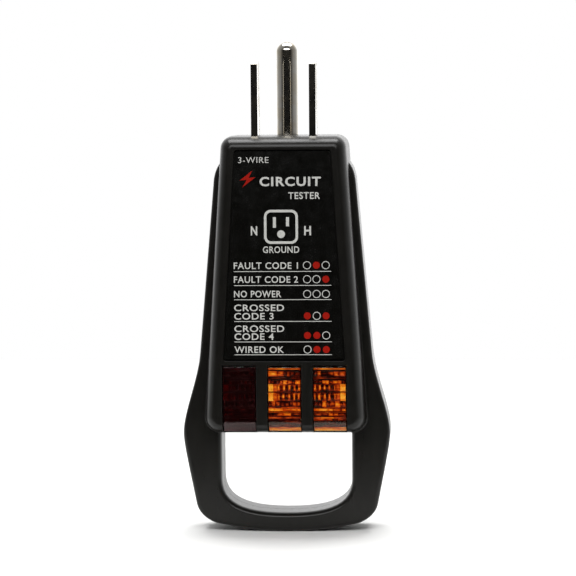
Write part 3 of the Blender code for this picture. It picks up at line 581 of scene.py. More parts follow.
def curve_mesh(curve, rotation=(0, 0, 0), location=(0, 0, 0)):
    holder = bpy.data.objects.new("holder", curve)
    holder.rotation_euler = rotation
    holder.location = location
    scratch.objects.link(holder)
    bpy.context.view_layer.update()
    mesh = evaluated(holder)
    mesh.transform(holder.matrix_world)
    bpy.data.objects.remove(holder)

    def weld(bm):
        bmesh.ops.remove_doubles(bm, verts=bm.verts, dist=0.000004)
        bmesh.ops.dissolve_limit(bm, angle_limit=0.001, verts=bm.verts, edges=bm.edges)
        bmesh.ops.recalc_face_normals(bm, faces=bm.faces)
    return edit(mesh, weld)


def slab_mesh(outlines, y_low, y_high, edge=0.0, steps=8, inset=0.0):
    """Flat outlines in the XZ plane, filled and extruded along Y.

    The slab's edges are rounded by edge, or the outlines are moved inwards by inset.
    """
    curve = bpy.data.curves.new("slab", "CURVE")
    curve.dimensions = "2D"
    curve.fill_mode = "BOTH"
    curve.resolution_u = steps
    curve.extrude = ((y_high - y_low) / 2 - edge) * MM
    curve.bevel_depth = edge * MM
    curve.bevel_resolution = 4
    curve.offset = -(edge + inset) * MM
    for outline in outlines:
        spline = curve.splines.new("BEZIER")
        spline.bezier_points.add(len(outline) - 1)
        spline.use_cyclic_u = True
        for point, places in zip(spline.bezier_points, outline):
            point.handle_left_type = point.handle_right_type = "FREE"
            point.co, point.handle_left, point.handle_right = (
                (x * MM, z * MM, 0) for x, z in places)
    return curve_mesh(curve, (math.pi / 2, 0, 0), (0, (y_low + y_high) / 2 * MM, 0))


def corner_frame(points, i):
    """A polygon's corner and the unit vectors from it to its two neighbours."""
    tip = Vector(points[i])
    back = (Vector(points[i - 1]) - tip).normalized()
    ahead = (Vector(points[(i + 1) % len(points)]) - tip).normalized()
    return tip, back, ahead


def rounded_polygon(points, radius):
    """Bezier points (place, handle in, handle out) of a polygon with rounded corners."""
    beziers = []
    for i in range(len(points)):
        tip, back, ahead = corner_frame(points, i)
        turn = back.angle(ahead)
        reach = radius / math.tan(turn / 2)
        handle = reach - radius * 4 / 3 * math.tan((math.pi - turn) / 4)
        start, end = tip + back * reach, tip + ahead * reach
        beziers += [(start, start, tip + back * handle), (end, tip + ahead * handle, end)]
    return beziers


def trapezium(half_top, top, half_bottom, bottom):
    """Corners of an upright trapezium that is centred on x = 0."""
    return [(half_top, top), (half_bottom, bottom), (-half_bottom, bottom), (-half_top, top)]


def mirrored(half):
    """Close a right-hand half outline, given from the top down, with its mirror image."""
    left = [((-p[0], p[1]), (-b[0], b[1]), (-a[0], a[1])) for p, a, b in reversed(half)]
    return half + [point for point in left if abs(point[0][0]) > 0.01]


def turned_mesh(profile, location, steps=64, along_y=False):
    """Solid of revolution; profile runs down its outer side as (radius, height)."""
    mesh = bpy.data.meshes.new("profile")
    mesh.from_pydata([(r * MM, 0, z * MM) for r, z in profile],
                     [(i, i + 1) for i in range(len(profile) - 1)], [])
    holder = bpy.data.objects.new("turned", mesh)
    scratch.objects.link(holder)
    screw = holder.modifiers.new("turn", "SCREW")
    screw.axis = "Z"
    screw.steps = steps
    screw.render_steps = steps
    screw.use_merge_vertices = True
    screw.merge_threshold = 0.00001
    result = evaluated(holder)
    bpy.data.objects.remove(holder)
    if along_y:
        result.transform(Matrix.Rotation(-math.pi / 2, 4, "X"))
    result.transform(Matrix.Translation(Vector(location) * MM))
    return result


# ---- casing

def frame_outline():
    """Handle frame: shoulders, straight flanks, flare, widest point, foot and curved base."""
    return mirrored([
        ((0, -4.5), (-4, -4.5), (4, -4.5)),
        ((11.6, -4.5), (8, -4.5), (14.0, -4.5)),
        ((15.6, -9.6), (15.35, -7.3), (16.2, -16.3)),
        ((19.0, -47.6), (18.4, -40.9), (19.45, -53.5)),
        ((22.9, -65.6), (22.9, -61.0), (22.9, -68.2)),
        ((20.15, -81.5), (21.75, -73.2), (19.7, -83.6)),
        ((15.8, -85.85), (17.9, -85.1), (10.7, -87.05)),
        ((0, -87.65), (5.3, -87.65), (-5.3, -87.65)),
    ])


def opening_outline():
    """Finger opening: square top corners, straight sides and a deep rounded bottom."""
    bend = OPENING_CORNER * 0.45
    side_handle = OPENING_SIDE_END_Z - SQUARENESS * (OPENING_SIDE_END_Z - OPENING_BOTTOM_Z)
    base_handle = SQUARENESS * OPENING_HALF
    top = BODY_BOTTOM_Z
    corner_x = OPENING_HALF - OPENING_CORNER
    return mirrored([
        ((corner_x, top), (0, top), (OPENING_HALF - bend, top)),
        ((OPENING_HALF, top - OPENING_CORNER), (OPENING_HALF, top - bend), (OPENING_HALF, -70)),
        ((OPENING_HALF, OPENING_SIDE_END_Z), (OPENING_HALF, -72), (OPENING_HALF, side_handle)),
        ((0, OPENING_BOTTOM_Z), (base_handle, OPENING_BOTTOM_Z), (-base_handle, OPENING_BOTTOM_Z)),
    ])


def body_half_at(z):
    """Half width of the drafted faces at a height."""
    share = z / BODY_BOTTOM_Z
    return BODY_TOP_HALF - BODY_DRAFT + share * (BODY_BOTTOM_HALF - BODY_TOP_HALF)


def rounded_loop(corners, radii):
    """Points of a polygon with rounded corners, the same number for any radii."""
    loop = []
    for i, radius in enumerate(radii):
        tip, back, ahead = corner_frame(corners, i)
        half_turn = back.angle(ahead) / 2
        centre = tip + (back + ahead).normalized() * radius / math.sin(half_turn)
        reach = radius / math.tan(half_turn)
        start = tip + back * reach - centre
        end = tip + ahead * reach - centre
        sweep = math.pi - 2 * half_turn
        for k in range(CORNER_STEPS + 1):
            share = k / CORNER_STEPS
            spoke = start * math.sin((1 - share) * sweep) + end * math.sin(share * sweep)
            loop.append(centre + spoke / math.sin(sweep))
    return loop


def body_corners(inset, draft=0.0):
    """Corners of the tapered block's outline, moved in by an inset, and its flanks by a draft."""
    slope = (BODY_BOTTOM_HALF - BODY_TOP_HALF) / -BODY_BOTTOM_Z
    inward = (inset + draft) * math.hypot(1, slope)
    top, bottom = -inset, BODY_BOTTOM_Z + inset
    half_top = BODY_TOP_HALF - slope * top - inward
    half_bottom = BODY_TOP_HALF - slope * bottom - inward
    return trapezium(half_top, top, half_bottom, bottom)


def body_radii(inset):
    """Corner radii of the block's outline, in the order of its corners."""
    top = BODY_TOP_CORNER - CORNER_SHRINK * inset
    bottom = BODY_BOTTOM_CORNER - CORNER_SHRINK * inset
    return [top, bottom, bottom, top]


def body_block():
    """Tapered block whose flanks lean in towards both faces and roll onto them."""
    side = []
    for k in range(EDGE_STEPS + 1):
        angle = math.pi / 2 * k / EDGE_STEPS
        side.append((EDGE_DEPTH * (1 - math.sin(angle)), EDGE_WIDTH * (1 - math.cos(angle))))
    stations = [(FACE_Y + rise, inset, EDGE_DRAFT) for rise, inset in reversed(side)]
    stations += [(FRAME_FRONT_Y + CREASE_DEPTH, 0.0, CREASE_DRAFT), (PARTING_Y, 0.0, 0.0),
                 (FRAME_REAR_Y - CREASE_DEPTH, 0.0, CREASE_DRAFT)]
    stations += [(REAR_Y - rise, inset, EDGE_DRAFT) for rise, inset in side]
    bm = bmesh.new()
    rings = []
    for y, inset, draft in stations:
        loop = rounded_loop(body_corners(inset, draft), body_radii(inset))
        rings.append([bm.verts.new((x * MM, y * MM, z * MM)) for x, z in loop])
    for ring, following in zip(rings, rings[1:]):
        for i in range(len(ring)):
            j = (i + 1) % len(ring)
            bm.faces.new((ring[i], ring[j], following[j], following[i]))
    bm.faces.new(rings[0])
    bm.faces.new(rings[-1])
    bmesh.ops.recalc_face_normals(bm, faces=bm.faces)
    return closed(bm, "body_block")


def seam_core(inset, play):
    """What stands past the seam: the casing's outline moved inwards, lower in the arms."""
    low = SEAM_FRONT_Y - 1
    arms = slab_mesh([frame_outline()], low, PARTING_Y + ARM_LIP_HEIGHT + play, steps=16,
                     inset=inset)
    window = slab_mesh([opening_outline()], low - 1, PARTING_Y + 3, steps=12, inset=-inset)
    body = slab_mesh([rounded_polygon(body_corners(inset), BODY_TOP_CORNER)], low - 0.5,
                     PARTING_Y + LIP_HEIGHT + play)
    return combine(arms, [("DIFFERENCE", window), ("UNION", body)])


def is_sharp_on(edge, *planes):
    """Whether an edge lies on one of some planes across Y and turns sharply."""
    return any(on_plane(edge, 1, y) for y in planes) and edge.calc_face_angle() > 1.0


def is_crease(edge):
    """Inner corner where the body's flank stands on the handle frame's flat face."""
    return is_sharp_on(edge, FRAME_FRONT_Y, FRAME_REAR_Y) and not edge.is_convex


def is_opening_rim(edge):
    middle = (edge.verts[0].co + edge.verts[1].co) / 2 / MM
    low = middle.z < BODY_BOTTOM_Z - 0.05 and abs(middle.x) < OPENING_HALF + 0.05
    return low and edge.is_convex and is_sharp_on(edge, FRAME_FRONT_Y, FRAME_REAR_Y)


def stretch_rim(verts):
    """Make the opening's round rim deeper than it is high."""
    for vert in verts:
        face_y = FRAME_FRONT_Y if vert.co.y < PARTING_Y * MM else FRAME_REAR_Y
        vert.co.y = face_y * MM + (vert.co.y - face_y * MM) * OPENING_EDGE_STRETCH


def casing_form():
    """The closed outer form of both shells together."""
    frame_plate = slab_mesh([frame_outline()], FRAME_FRONT_Y, FRAME_REAR_Y, FRAME_EDGE, 16)
    opening = slab_mesh([opening_outline()], FRAME_FRONT_Y - 9, FRAME_REAR_Y + 9, steps=12)
    plate = combine(frame_plate, cuts([opening]))
    bevel_edges(plate, is_opening_rim, OPENING_EDGE, 6, after=stretch_rim)
    form = combine(plate, [("UNION", body_block())])
    return bevel_edges(form, is_crease, FILLET, 3)


def cavity(y_low, y_high, wall=WALL):
    """Space inside the body, a wall's thickness in from the drafted flanks."""
    shrink = wall - WALL
    top = CAVITY_TOP_Z - shrink
    bottom = CAVITY_BOTTOM_Z + shrink
    corners = trapezium(body_half_at(top) - wall, top, body_half_at(bottom) - wall, bottom)
    return slab_mesh([rounded_polygon(corners, CAVITY_CORNER)], y_low, y_high, steps=4)


def label_recess():
    """Shallow tapered recess that the legend label sits in."""
    corners = trapezium(LABEL_TOP_HALF + LABEL_MARGIN, LABEL_TOP_Z + LABEL_MARGIN,
                        LABEL_BOTTOM_HALF + LABEL_MARGIN, RIDGE_Z)
    return slab_mesh([rounded_polygon(corners, RECESS_CORNER)], FACE_Y - 1,
                     LABEL_BACK_Y + GAP, steps=6)


def lens_notches():
    half = LENS_WIDTH / 2 + GAP / 2
    return [box_mesh((i * LENS_PITCH - half, FACE_Y - 1, BODY_BOTTOM_Z - 1),
                     (i * LENS_PITCH + half, LENS_BACK_Y + GAP, LENS_TOP_Z + GAP))
            for i in (-1, 0, 1)]


def blade_slots():
    half = BLADE_THICK / 2 + PRONG_PLAY
    deep = BLADE_WIDTH / 2 + PRONG_PLAY
    return [box_mesh((x - half, -deep, SLOT_LOW_Z), (x + half, deep, SLOT_HIGH_Z))
            for x in (-BLADE_SPACING / 2, BLADE_SPACING / 2)]


def handle_pockets(y_low, y_high):
    """Cored-out slots in the handle arms, open at the seam."""
    pockets = []
    for x in (-POCKET_X, POCKET_X):
        corners = [(x + offset, z) for offset, z in POCKET_CORNERS]
        pockets.append(slab_mesh([rounded_polygon(corners, POCKET_CORNER_RADIUS)], y_low, y_high,
                                 steps=4))
    return pockets


def beyond_seam(y_low, y_high, operation, tool):
    """Tool that takes away what one shell leaves to the other."""
    block = box_mesh((-BEYOND_HALF, y_low, BEYOND_LOW_Z), (BEYOND_HALF, y_high, BEYOND_HIGH_Z))
    return combine(block, [(operation, tool)])


def front_shell(form):
    beyond = beyond_seam(SEAM_FRONT_Y, BEYOND_HALF, "DIFFERENCE", seam_core(LIP_INSET, 0.0))
    hollows = [beyond, cavity(FACE_Y + WALL, PARTING_Y + 3)]
    hollows += handle_pockets(FRAME_FRONT_Y + WALL, PARTING_Y + 3)
    bosses = []
    bores = []
    for place, (x, z) in SCREW_PLACES.items():
        is_upper = place.startswith("upper")
        face = FACE_Y if is_upper else FRAME_FRONT_Y
        if is_upper:
            bosses.append(rod_mesh(BOSS_RADIUS, face + 1, SEAM_FRONT_Y, (x, z)))
        bores.append(rod_mesh(SCREW_RADIUS + GAP, face + SCREW_BLIND_WALL, BORE_END_Y, (x, z)))
    mesh = combine(form, cuts(hollows) + [("UNION", tool) for tool in bosses]
                   + cuts(bores + [label_recess()] + lens_notches() + blade_slots()))

    def is_ridge(edge):
        return on_plane(edge, 1, FACE_Y) and on_plane(edge, 2, RIDGE_Z, 0.02)

    def is_rim(edge):
        return edge.is_convex and is_sharp_on(edge, FACE_Y) and not is_ridge(edge)
    bevel_edges(mesh, is_rim, RIM, 2)
    return bevel_edges(mesh, is_ridge, RIDGE_EDGE, 3)


def rear_shell(form):
    rebate = combine(seam_core(LIP_INSET - LIP_PLAY, LIP_PLAY),
                     cuts([cavity(PARTING_Y - 3, PARTING_Y + 3, WALL + LIP_PLAY)]))
    beyond = beyond_seam(-BEYOND_HALF, SEAM_REAR_Y, "UNION", rebate)
    steps = cuts([cavity(PARTING_Y - 1, REAR_Y - WALL)]
                 + handle_pockets(PARTING_Y - 1, FRAME_REAR_Y - WALL))
    for place, (x, z) in SCREW_PLACES.items():
        is_upper = place.startswith("upper")
        face = REAR_Y if is_upper else FRAME_REAR_Y
        if is_upper:
            boss = rod_mesh(BOSS_RADIUS + REAR_BOSS_EXTRA, PARTING_Y, face - 1,
                            (x * REAR_BOSS_SHIFT, z))
            steps.append(("UNION", boss))
        bore = rod_mesh(SCREW_RADIUS + GAP, BORE_START_Y, REAR_Y + 1, (x, z))
        counterbore = rod_mesh(SCREW_HEAD_RADIUS + GAP, face - SCREW_HEAD_THICK - SCREW_SINK,
                               REAR_Y + 1, (x, z), segments=48)
        steps += cuts([bore, counterbore])
    pin_hole = rod_mesh(PIN_DIAMETER / 2 + PRONG_PLAY, SLOT_LOW_Z, SLOT_HIGH_Z, (0, PIN_BACK),
                        along_z=True, segments=64)
    mesh = combine(form, steps + cuts([beyond, pin_hole]))
    return bevel_edges(mesh, lambda e: e.is_convex and is_sharp_on(e, REAR_Y, FRAME_REAR_Y),
                       RIM, 2)


# ---- legend print

PRINT_RISE = 0.02
PRINT_LIFT = 0.006
ROW_LEFT = -10.8
ROW_RIGHT = 10.42
RULE_THICK = 0.14
DOT_COLUMNS = (5.15, 7.2, 9.23)
DOT_RADIUS = 0.875
DOT_RING = 0.16
LIT_DOT_RADIUS = 0.77
CAP_HEIGHT = 1.47
# Handle length, in radii, that makes a quarter circle of a Bezier segment
CIRCLE_HANDLE = 0.5523
# Each row: text lines with their widths, rule height, dot height and lit lamps
LEGEND_ROWS = [
    ([("FAULT CODE 1", 14.0, -28.73)], -29.27, -27.93, (0, 1, 0)),
    ([("FAULT CODE 2", 14.0, -31.75)], -32.32, -30.98, (0, 0, 1)),
    ([("NO POWER", 10.3, -34.91)], -35.42, -34.2, (0, 0, 0)),
    ([("CROSSED", 10.9, -37.93), ("CODE 3", 8.6, -39.77)], -40.17, -38.97, (1, 0, 1)),
    ([("CROSSED", 10.9, -42.5), ("CODE 4", 8.6, -44.22)], -44.65, -43.25, (1, 1, 0)),
    ([("WIRED OK", 10.8, -47.08)], -47.47, -46.33, (0, 1, 1)),
]


# Headings: words, left end, width, baseline, capital height, weight and letter spacing
TEXT_LINES = [("3-WIRE", -9.6, 6.6, -5.7, 1.3, 0.0),
              ("CIRCUIT", -5.0, 13.3, -10.75, 2.05, 0.03, 1.16),
              ("TESTER", 1.2, 6.9, -13.55, 1.5),
              ("N", -7.0, 1.4, -21.4, 2.0, 0.03),
              ("H", 4.6, 1.5, -21.4, 2.0, 0.03),
              ("GROUND", -4.4, 7.9, -25.25, 1.45)]
# The pictogram's frame is the band between two rounded squares: half size and corner radius
PICTOGRAM_MIDDLE = (-0.42, -19.55)
PICTOGRAM_FRAME = [(3.7, 1.5), (3.15, 1.0)]
# Red lightning bolt
BOLT_POINTS = [(-6.55, -7.3), (-9.3, -9.45), (-7.75, -9.3), (-8.75, -10.95), (-5.85, -8.75),
               (-7.35, -8.9)]


def flat_print(outlines):
    """Thin raised print of filled outlines on the label's face."""
    y_high = LABEL_FRONT_Y - PRINT_LIFT
    return slab_mesh(outlines, y_high - PRINT_RISE, y_high, steps=12)


def polygon_outline(points):
    return [(point, point, point) for point in points]


def circle_outline(x, z, radius):
    """Four-point Bezier circle."""
    reach = radius * CIRCLE_HANDLE
    outline = []
    for a, b in ((1, 0), (0, 1), (-1, 0), (0, -1)):
        place_x, place_z = x + a * radius, z + b * radius
        outline.append(((place_x, place_z), (place_x + b * reach, place_z - a * reach),
                        (place_x - b * reach, place_z + a * reach)))
    return outline


def bar_outline(x_low, x_high, z_low, z_high):
    return polygon_outline([(x_low, z_low), (x_high, z_low), (x_high, z_high), (x_low, z_high)])


def text_print(words, left, width, base, height, weight=0.014, spacing=1.1):
    """Lettering scaled to an exact width and capital height, set on its baseline."""
    font = bpy.data.curves.new("print", "FONT")
    font.body = words
    font.size = 1.0
    font.offset = weight
    font.space_character = spacing
    font.extrude = 0.5
    font.resolution_u = 4
    mesh = curve_mesh(font)
    spans = [(min(values), max(values)) for values in zip(*(vert.co for vert in mesh.vertices))]
    y_high = LABEL_FRONT_Y - PRINT_LIFT
    for vert in mesh.vertices:
        across, up, deep = [(at - low) / (high - low) for at, (low, high) in zip(vert.co, spans)]
        vert.co = Vector((left + across * width, y_high - deep * PRINT_RISE,
                          base + up * height)) * MM
    return mesh


def merged(meshes):
    """One mesh from several that don't touch."""
    bm = bmesh.new()
    for mesh in meshes:
        bm.from_mesh(mesh)
    return closed(bm, "merged")


def outlet_pictogram():
    """Generic outlet face: rounded square frame, two slots and a round ground hole."""
    x, z = PICTOGRAM_MIDDLE

    def square(size, radius):
        corners = [(x + size, z + size), (x + size, z - size), (x - size, z - size),
                   (x - size, z + size)]
        return rounded_polygon(corners, radius)
    ring = flat_print([square(size, radius) for size, radius in PICTOGRAM_FRAME])
    slots = [flat_print([bar_outline(x - 1.75, x - 1.1, z - 0.2, z + 2.1)]),
             flat_print([bar_outline(x + 1.1, x + 1.75, z + 0.1, z + 2.1)])]
    return [ring, flat_print([circle_outline(x, z - 1.6, 0.85)])] + slots


def legend_prints():
    white = [text_print(*line) for line in TEXT_LINES]
    white += outlet_pictogram()
    red = [flat_print([polygon_outline(BOLT_POINTS)])]
    for lines, rule_z, dot_z, lit in LEGEND_ROWS:
        for words, width, base in lines:
            white.append(text_print(words, ROW_LEFT, width, base, CAP_HEIGHT))
        white.append(flat_print([bar_outline(ROW_LEFT, ROW_RIGHT, rule_z - RULE_THICK / 2,
                                             rule_z + RULE_THICK / 2)]))
        for x, is_lit in zip(DOT_COLUMNS, lit):
            if is_lit:
                red.append(flat_print([circle_outline(x, dot_z, LIT_DOT_RADIUS)]))
            else:
                white.append(flat_print([circle_outline(x, dot_z, DOT_RADIUS),
                                         circle_outline(x, dot_z, DOT_RADIUS - DOT_RING)]))
    return merged(white), merged(red)


# ---- lamp windows

# Rows of the window's inner prisms from the top: kind, height, painted lightness, contrast,
# columns; the painted lightness stands in for the prisms' glints and shade
PRISM_ROWS = [("bar", 0.26, 0.6, 0.03, 1), ("bar", 0.33, 0.02, 0.02, 1),
              ("spots", 1.05, 0.4, 0.3, 6), ("bar", 0.35, 0.06, 0.03, 1),
              ("bar", 0.12, 0.25, 0.05, 1), ("bar", 0.35, 0.04, 0.03, 1),
              ("spots", 0.8, 0.5, 0.35, 8), ("ribs", 1.45, 0.5, 0.4, 9),
              ("bar", 0.25, 0.14, 0.1, 3), ("ribs", 1.7, 0.47, 0.4, 9),
              ("spots", 1.25, 0.4, 0.28, 8), ("bar", 0.3, 0.35, 0.15, 4),
              ("spots", 0.5, 0.62, 0.3, 5), ("bar", 0.16, 0.1, 0.05, 1),
              ("bar", 0.12, 0.5, 0.05, 1), ("bar", 0.16, 0.04, 0.02, 1),
              ("spots", 0.5, 0.5, 0.25, 5), ("bar", 0.3, 0.18, 0.1, 3),
              ("bar", 0.3, 0.5, 0.2, 3), ("spots", 0.4, 0.3, 0.2, 4),
              ("bar", 0.22, 0.03, 0.02, 1)]
# Share of a ribbed row's width taken by its block with a painted highlight
BLOCK_SHARE = 0.3


def chamfer_lower_edge(mesh, front_y, bottom_z):
    """Cut a window's lower front edge away at 45 degrees."""
    bevel_edges(mesh, lambda e: on_plane(e, 1, front_y) and on_plane(e, 2, bottom_z),
                LENS_CHAMFER, 1)


def lens_skin(x):
    """Outer skin of a window: chamfered lower edge, rounded rims, flange behind the shell."""
    half = LENS_WIDTH / 2
    body = box_mesh((x - half, LENS_FRONT_Y, LENS_BOTTOM_Z), (x + half, LENS_BACK_Y, LENS_TOP_Z))
    chamfer_lower_edge(body, LENS_FRONT_Y, LENS_BOTTOM_Z)
    bevel_edges(body, lambda e: e.calc_face_angle() > 0.5 and not on_plane(e, 1, LENS_BACK_Y),
                LENS_RIM, 2, clamp=True)
    flange_half = half + LENS_FLANGE_SIDE
    flange = box_mesh((x - flange_half, FACE_Y + WALL + GAP, LENS_BOTTOM_Z + LENS_FLANGE_FOOT),
                      (x + flange_half, LENS_BACK_Y, LENS_TOP_Z + LENS_FLANGE_TOP))
    hollow_half = half - LENS_SIDE_SKIN
    hollow = box_mesh((x - hollow_half, LENS_FRONT_Y + LENS_SKIN, LENS_BOTTOM_Z + LENS_SKIN),
                      (x + hollow_half, 0, LENS_TOP_Z - LENS_SKIN))
    chamfer_lower_edge(hollow, LENS_FRONT_Y + LENS_SKIN, LENS_BOTTOM_Z + LENS_SKIN)
    return combine(body, [("UNION", flange), ("DIFFERENCE", hollow)])


def prism_columns(rng, kind, painted_lightness, contrast, columns):
    """Widths, edge and peak painted lightness of one row of facets, left to right; this lightness
    paints glints and shade.
    """
    if kind == "ribs":
        cells = [(BLOCK_SHARE * 0.55, painted_lightness + 0.3, painted_lightness + 0.4),
                 (BLOCK_SHARE * 0.45, painted_lightness - 0.1, painted_lightness + 0.1)]
        for k in range(columns):
            sign = 1 if k % 2 == 0 else -1
            peak = painted_lightness + sign * contrast + rng.uniform(-0.12, 0.12)
            width = (1 - BLOCK_SHARE) / columns * rng.uniform(0.7, 1.3)
            cells.append((width, painted_lightness - 0.3, peak))
        return cells
    cells = []
    for _ in range(columns):
        peak = painted_lightness + rng.uniform(-1.0, 1.0) * contrast
        if kind == "spots":
            cells.append((rng.uniform(0.5, 1.5), peak - contrast * 0.8, peak + contrast * 0.4))
        else:
            cells.append((rng.uniform(0.5, 1.5), peak, peak))
    return cells


def prism_block(x, seed, mirror=False):
    """Faceted block behind a window's skin; each facet is tilted and has its own painted
    lightness, standing in for the glints and shade of the prisms.
    """
    rng = random.Random(seed)
    inset = LENS_SKIN + PRISM_FRONT_PLAY
    side_inset = LENS_SIDE_SKIN + PRISM_SIDE_PLAY
    left = x - LENS_WIDTH / 2 + side_inset
    width = LENS_WIDTH - 2 * side_inset
    top = LENS_TOP_Z - inset
    front = LENS_FRONT_Y + inset
    foot = LENS_BOTTOM_Z + inset
    slope_top = foot + LENS_CHAMFER
    scale = (top - slope_top) / sum(row[1] for row in PRISM_ROWS)
    bm = bmesh.new()
    # Per-corner painted light and shade of each facet, read by the prisms' material
    painted_light_layer = bm.loops.layers.float.new("facet_painted_light")

    def facet(points, lights):
        face = bm.faces.new([bm.verts.new(Vector(point) * MM) for point in points])
        for loop, light in zip(face.loops, lights):
            loop[painted_light_layer] = max(0.0, min(1.0, light))

    z_high = top
    for kind, height, painted_lightness, contrast, columns in PRISM_ROWS:
        z_low = z_high - height * scale
        cells = prism_columns(rng, kind, painted_lightness, contrast, columns)
        if mirror:
            cells.reverse()
        total = sum(cell[0] for cell in cells)
        x_low = left
        for share, edge_painted_light, peak_painted_light in cells:
            x_high = x_low + width * share / total
            depth = 0.08 if kind == "bar" else rng.uniform(0.15, 0.45)
            peak = (x_low + (x_high - x_low) * rng.uniform(0.3, 0.7), front + depth,
                    z_low + (z_high - z_low) * rng.uniform(0.3, 0.7))
            rim = [(x_low, front, z_low), (x_high, front, z_low), (x_high, front, z_high),
                   (x_low, front, z_high)]
            for i in range(4):
                tilt = rng.uniform(-0.3, 0.3) * contrast
                facet([rim[i], rim[(i + 1) % 4], peak],
                      [edge_painted_light + tilt, edge_painted_light - tilt, peak_painted_light + tilt])
            x_low = x_high
        z_high = z_low
    right = left + width
    back = LENS_BACK_Y - PRISM_BACK_PLAY
    split = CHAMFER_SPLIT * LENS_CHAMFER
    profile = [(front, slope_top), (front + split, slope_top - split),
               (front + LENS_CHAMFER, foot), (back, foot), (back, top), (front, top)]
    # Painted lightness of the block's outer faces: dark upper chamfer, painted glow on the
    # chamfer's lower band and underside, painted mid tones on back, top and sides
    band_painted_lights = [[0.1, 0.14, 0.16, 0.1], [0.5, 0.95, 0.8, 0.6], [0.85] * 4, [0.2] * 4,
                   [0.3] * 4]
    for start, end, lights in zip(profile, profile[1:], band_painted_lights):
        facet([(left, *start), (left, *end), (right, *end), (right, *start)], lights)
    for side_x in (left, right):
        facet([(side_x, y, z) for y, z in profile], [0.4] * len(profile))
    bmesh.ops.remove_doubles(bm, verts=bm.verts, dist=0.000001)
    bmesh.ops.recalc_face_normals(bm, faces=bm.faces)
    return closed(bm, "prisms")


# ---- prongs and screws

BLADE_TIP_TAPER = 0.55
BLADE_ROUND = 0.1
EYE_RADIUS = 0.7
EYE_RISE = 1.4
# Shoulder and solder tail of a blade, as (half width, height)
BLADE_FOOT = [(BLADE_WIDTH / 2, -2.6), (4.3, -2.8), (4.3, -5.4), (2.0, -5.6), (2.0, TAIL_END_Z)]
PIN_DOME = 1.85
# Flange and tail of the ground pin, as (radius, height)
PIN_FOOT = [(PIN_DIAMETER / 2, -2.6), (PIN_DIAMETER / 2 + 0.1, -2.7), (3.0, -2.7), (3.1, -2.8),
            (3.1, -4.5), (3.0, -4.6), (1.6, -4.6), (1.6, TAIL_END_Z + 0.2), (1.4, TAIL_END_Z),
            (0, TAIL_END_Z)]
HEAD_ROUND = 0.7
HEAD_ROUND_DEPTH = 0.9
THREAD_DEPTH = 0.25
THREAD_FLANK = 0.3
THREAD_PITCH = 1.0
SCREW_POINT = 1.2
CROSS_ARM = 1.35
CROSS_HALF = 0.3
CROSS_DEPTH = 1.1


def blade_mesh(x):
    """Flat blade with chamfered, tapered tip, rolled edges, shoulder and solder tail."""
    half = BLADE_WIDTH / 2
    side = [(half - BLADE_TIP_CHAMFER, BLADE_TOP_Z), (half, BLADE_TOP_Z - BLADE_TIP_CHAMFER)]
    side += BLADE_FOOT
    outline = side + [(-y, z) for y, z in reversed(side)]
    mesh = slab_mesh([polygon_outline(outline)], -BLADE_THICK / 2, BLADE_THICK / 2, steps=1)

    def turn(bm):
        for vert in bm.verts:
            y, thick, z = vert.co
            taper = BLADE_TIP_TAPER if z > (BLADE_TOP_Z - 0.1) * MM else 1.0
            vert.co = (-thick * taper + x * MM, y, z)
    edit(mesh, turn)
    bevel_edges(mesh, lambda e: e.calc_face_angle() > 0.3, BLADE_ROUND, 2, clamp=True)
    eye = rod_mesh(EYE_RADIUS, -3, 3, (0, 0), along_z=True, segments=24)
    for vert in eye.vertices:
        across, up, along = vert.co
        vert.co = (along + x * MM, across, up + (TAIL_END_Z + EYE_RISE) * MM)
    return combine(mesh, cuts([eye]))


def ground_pin_mesh():
    """Round ground pin with a domed tip, flange and tail."""
    radius = PIN_DIAMETER / 2
    ball = (radius ** 2 + PIN_DOME ** 2) / (2 * PIN_DOME)
    reach = math.asin(radius / ball)
    dome = []
    for k in range(17):
        angle = reach * k / 16
        dome.append((ball * math.sin(angle), PIN_TOP_Z - ball * (1 - math.cos(angle))))
    return turned_mesh(dome + PIN_FOOT, (0, PIN_BACK, 0))


def screw_mesh(place):
    """Pan head screw with a cross recess and a spaced thread on its shank."""
    x, z = SCREW_PLACES[place]
    low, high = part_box(f"screw_{place}")
    tip, seat = low[1] / MM, high[1] / MM
    under = seat - SCREW_HEAD_THICK
    root = SCREW_RADIUS - THREAD_DEPTH
    profile = [(0, seat)]
    for k in range(1, 7):
        angle = math.radians(15 * k)
        profile.append((SCREW_HEAD_RADIUS - HEAD_ROUND + HEAD_ROUND * math.sin(angle),
                        seat - HEAD_ROUND_DEPTH * (1 - math.cos(angle))))
    profile += [(SCREW_HEAD_RADIUS, under), (root, under)]
    turn_z = under - 0.8
    while turn_z > tip + 1.6:
        profile += [(root, turn_z), (SCREW_RADIUS, turn_z - THREAD_FLANK),
                    (root, turn_z - 2 * THREAD_FLANK)]
        turn_z -= THREAD_PITCH
    profile += [(root, tip + SCREW_POINT), (0.3, tip), (0, tip)]
    mesh = turned_mesh(profile, (x, 0, z), steps=32, along_y=True)
    deep = seat - CROSS_DEPTH
    return combine(mesh, cuts(
        box_mesh((x - across, deep, z - up), (x + across, seat + 1, z + up))
        for across, up in ((CROSS_ARM, CROSS_HALF), (CROSS_HALF, CROSS_ARM))))


# ---- build

make_camera()
make_world()
for name, (place, size, power) in LIGHTS.items():
    make_light(name, place, size, power)
bpy.context.scene.view_settings.view_transform = "Standard"

floor_mesh = box_mesh((-FLOOR_SIDE, FLOOR_FRONT, BASE_Z - FLOOR_THICK),
                      (FLOOR_SIDE, FLOOR_BACK, BASE_Z - FLOOR_DROP))
floor = add_object("floor", floor_mesh)
floor_mesh.materials.append(floor_paper())

abs_black = moulded_abs()
casing = casing_form()
for name, build in (("front_shell", front_shell), ("rear_shell", rear_shell)):
    piece(f"{name}_moulding", smooth(build(casing.copy()), 40), abs_black, "abs_black", name)

white_print, red_print = legend_prints()
piece("legend_print_white", white_print, ink("ink_white", (0.6, 0.6, 0.57)), "label_print")
piece("legend_print_red", red_print, ink("ink_red", (0.34, 0.008, 0.003)), "label_print")
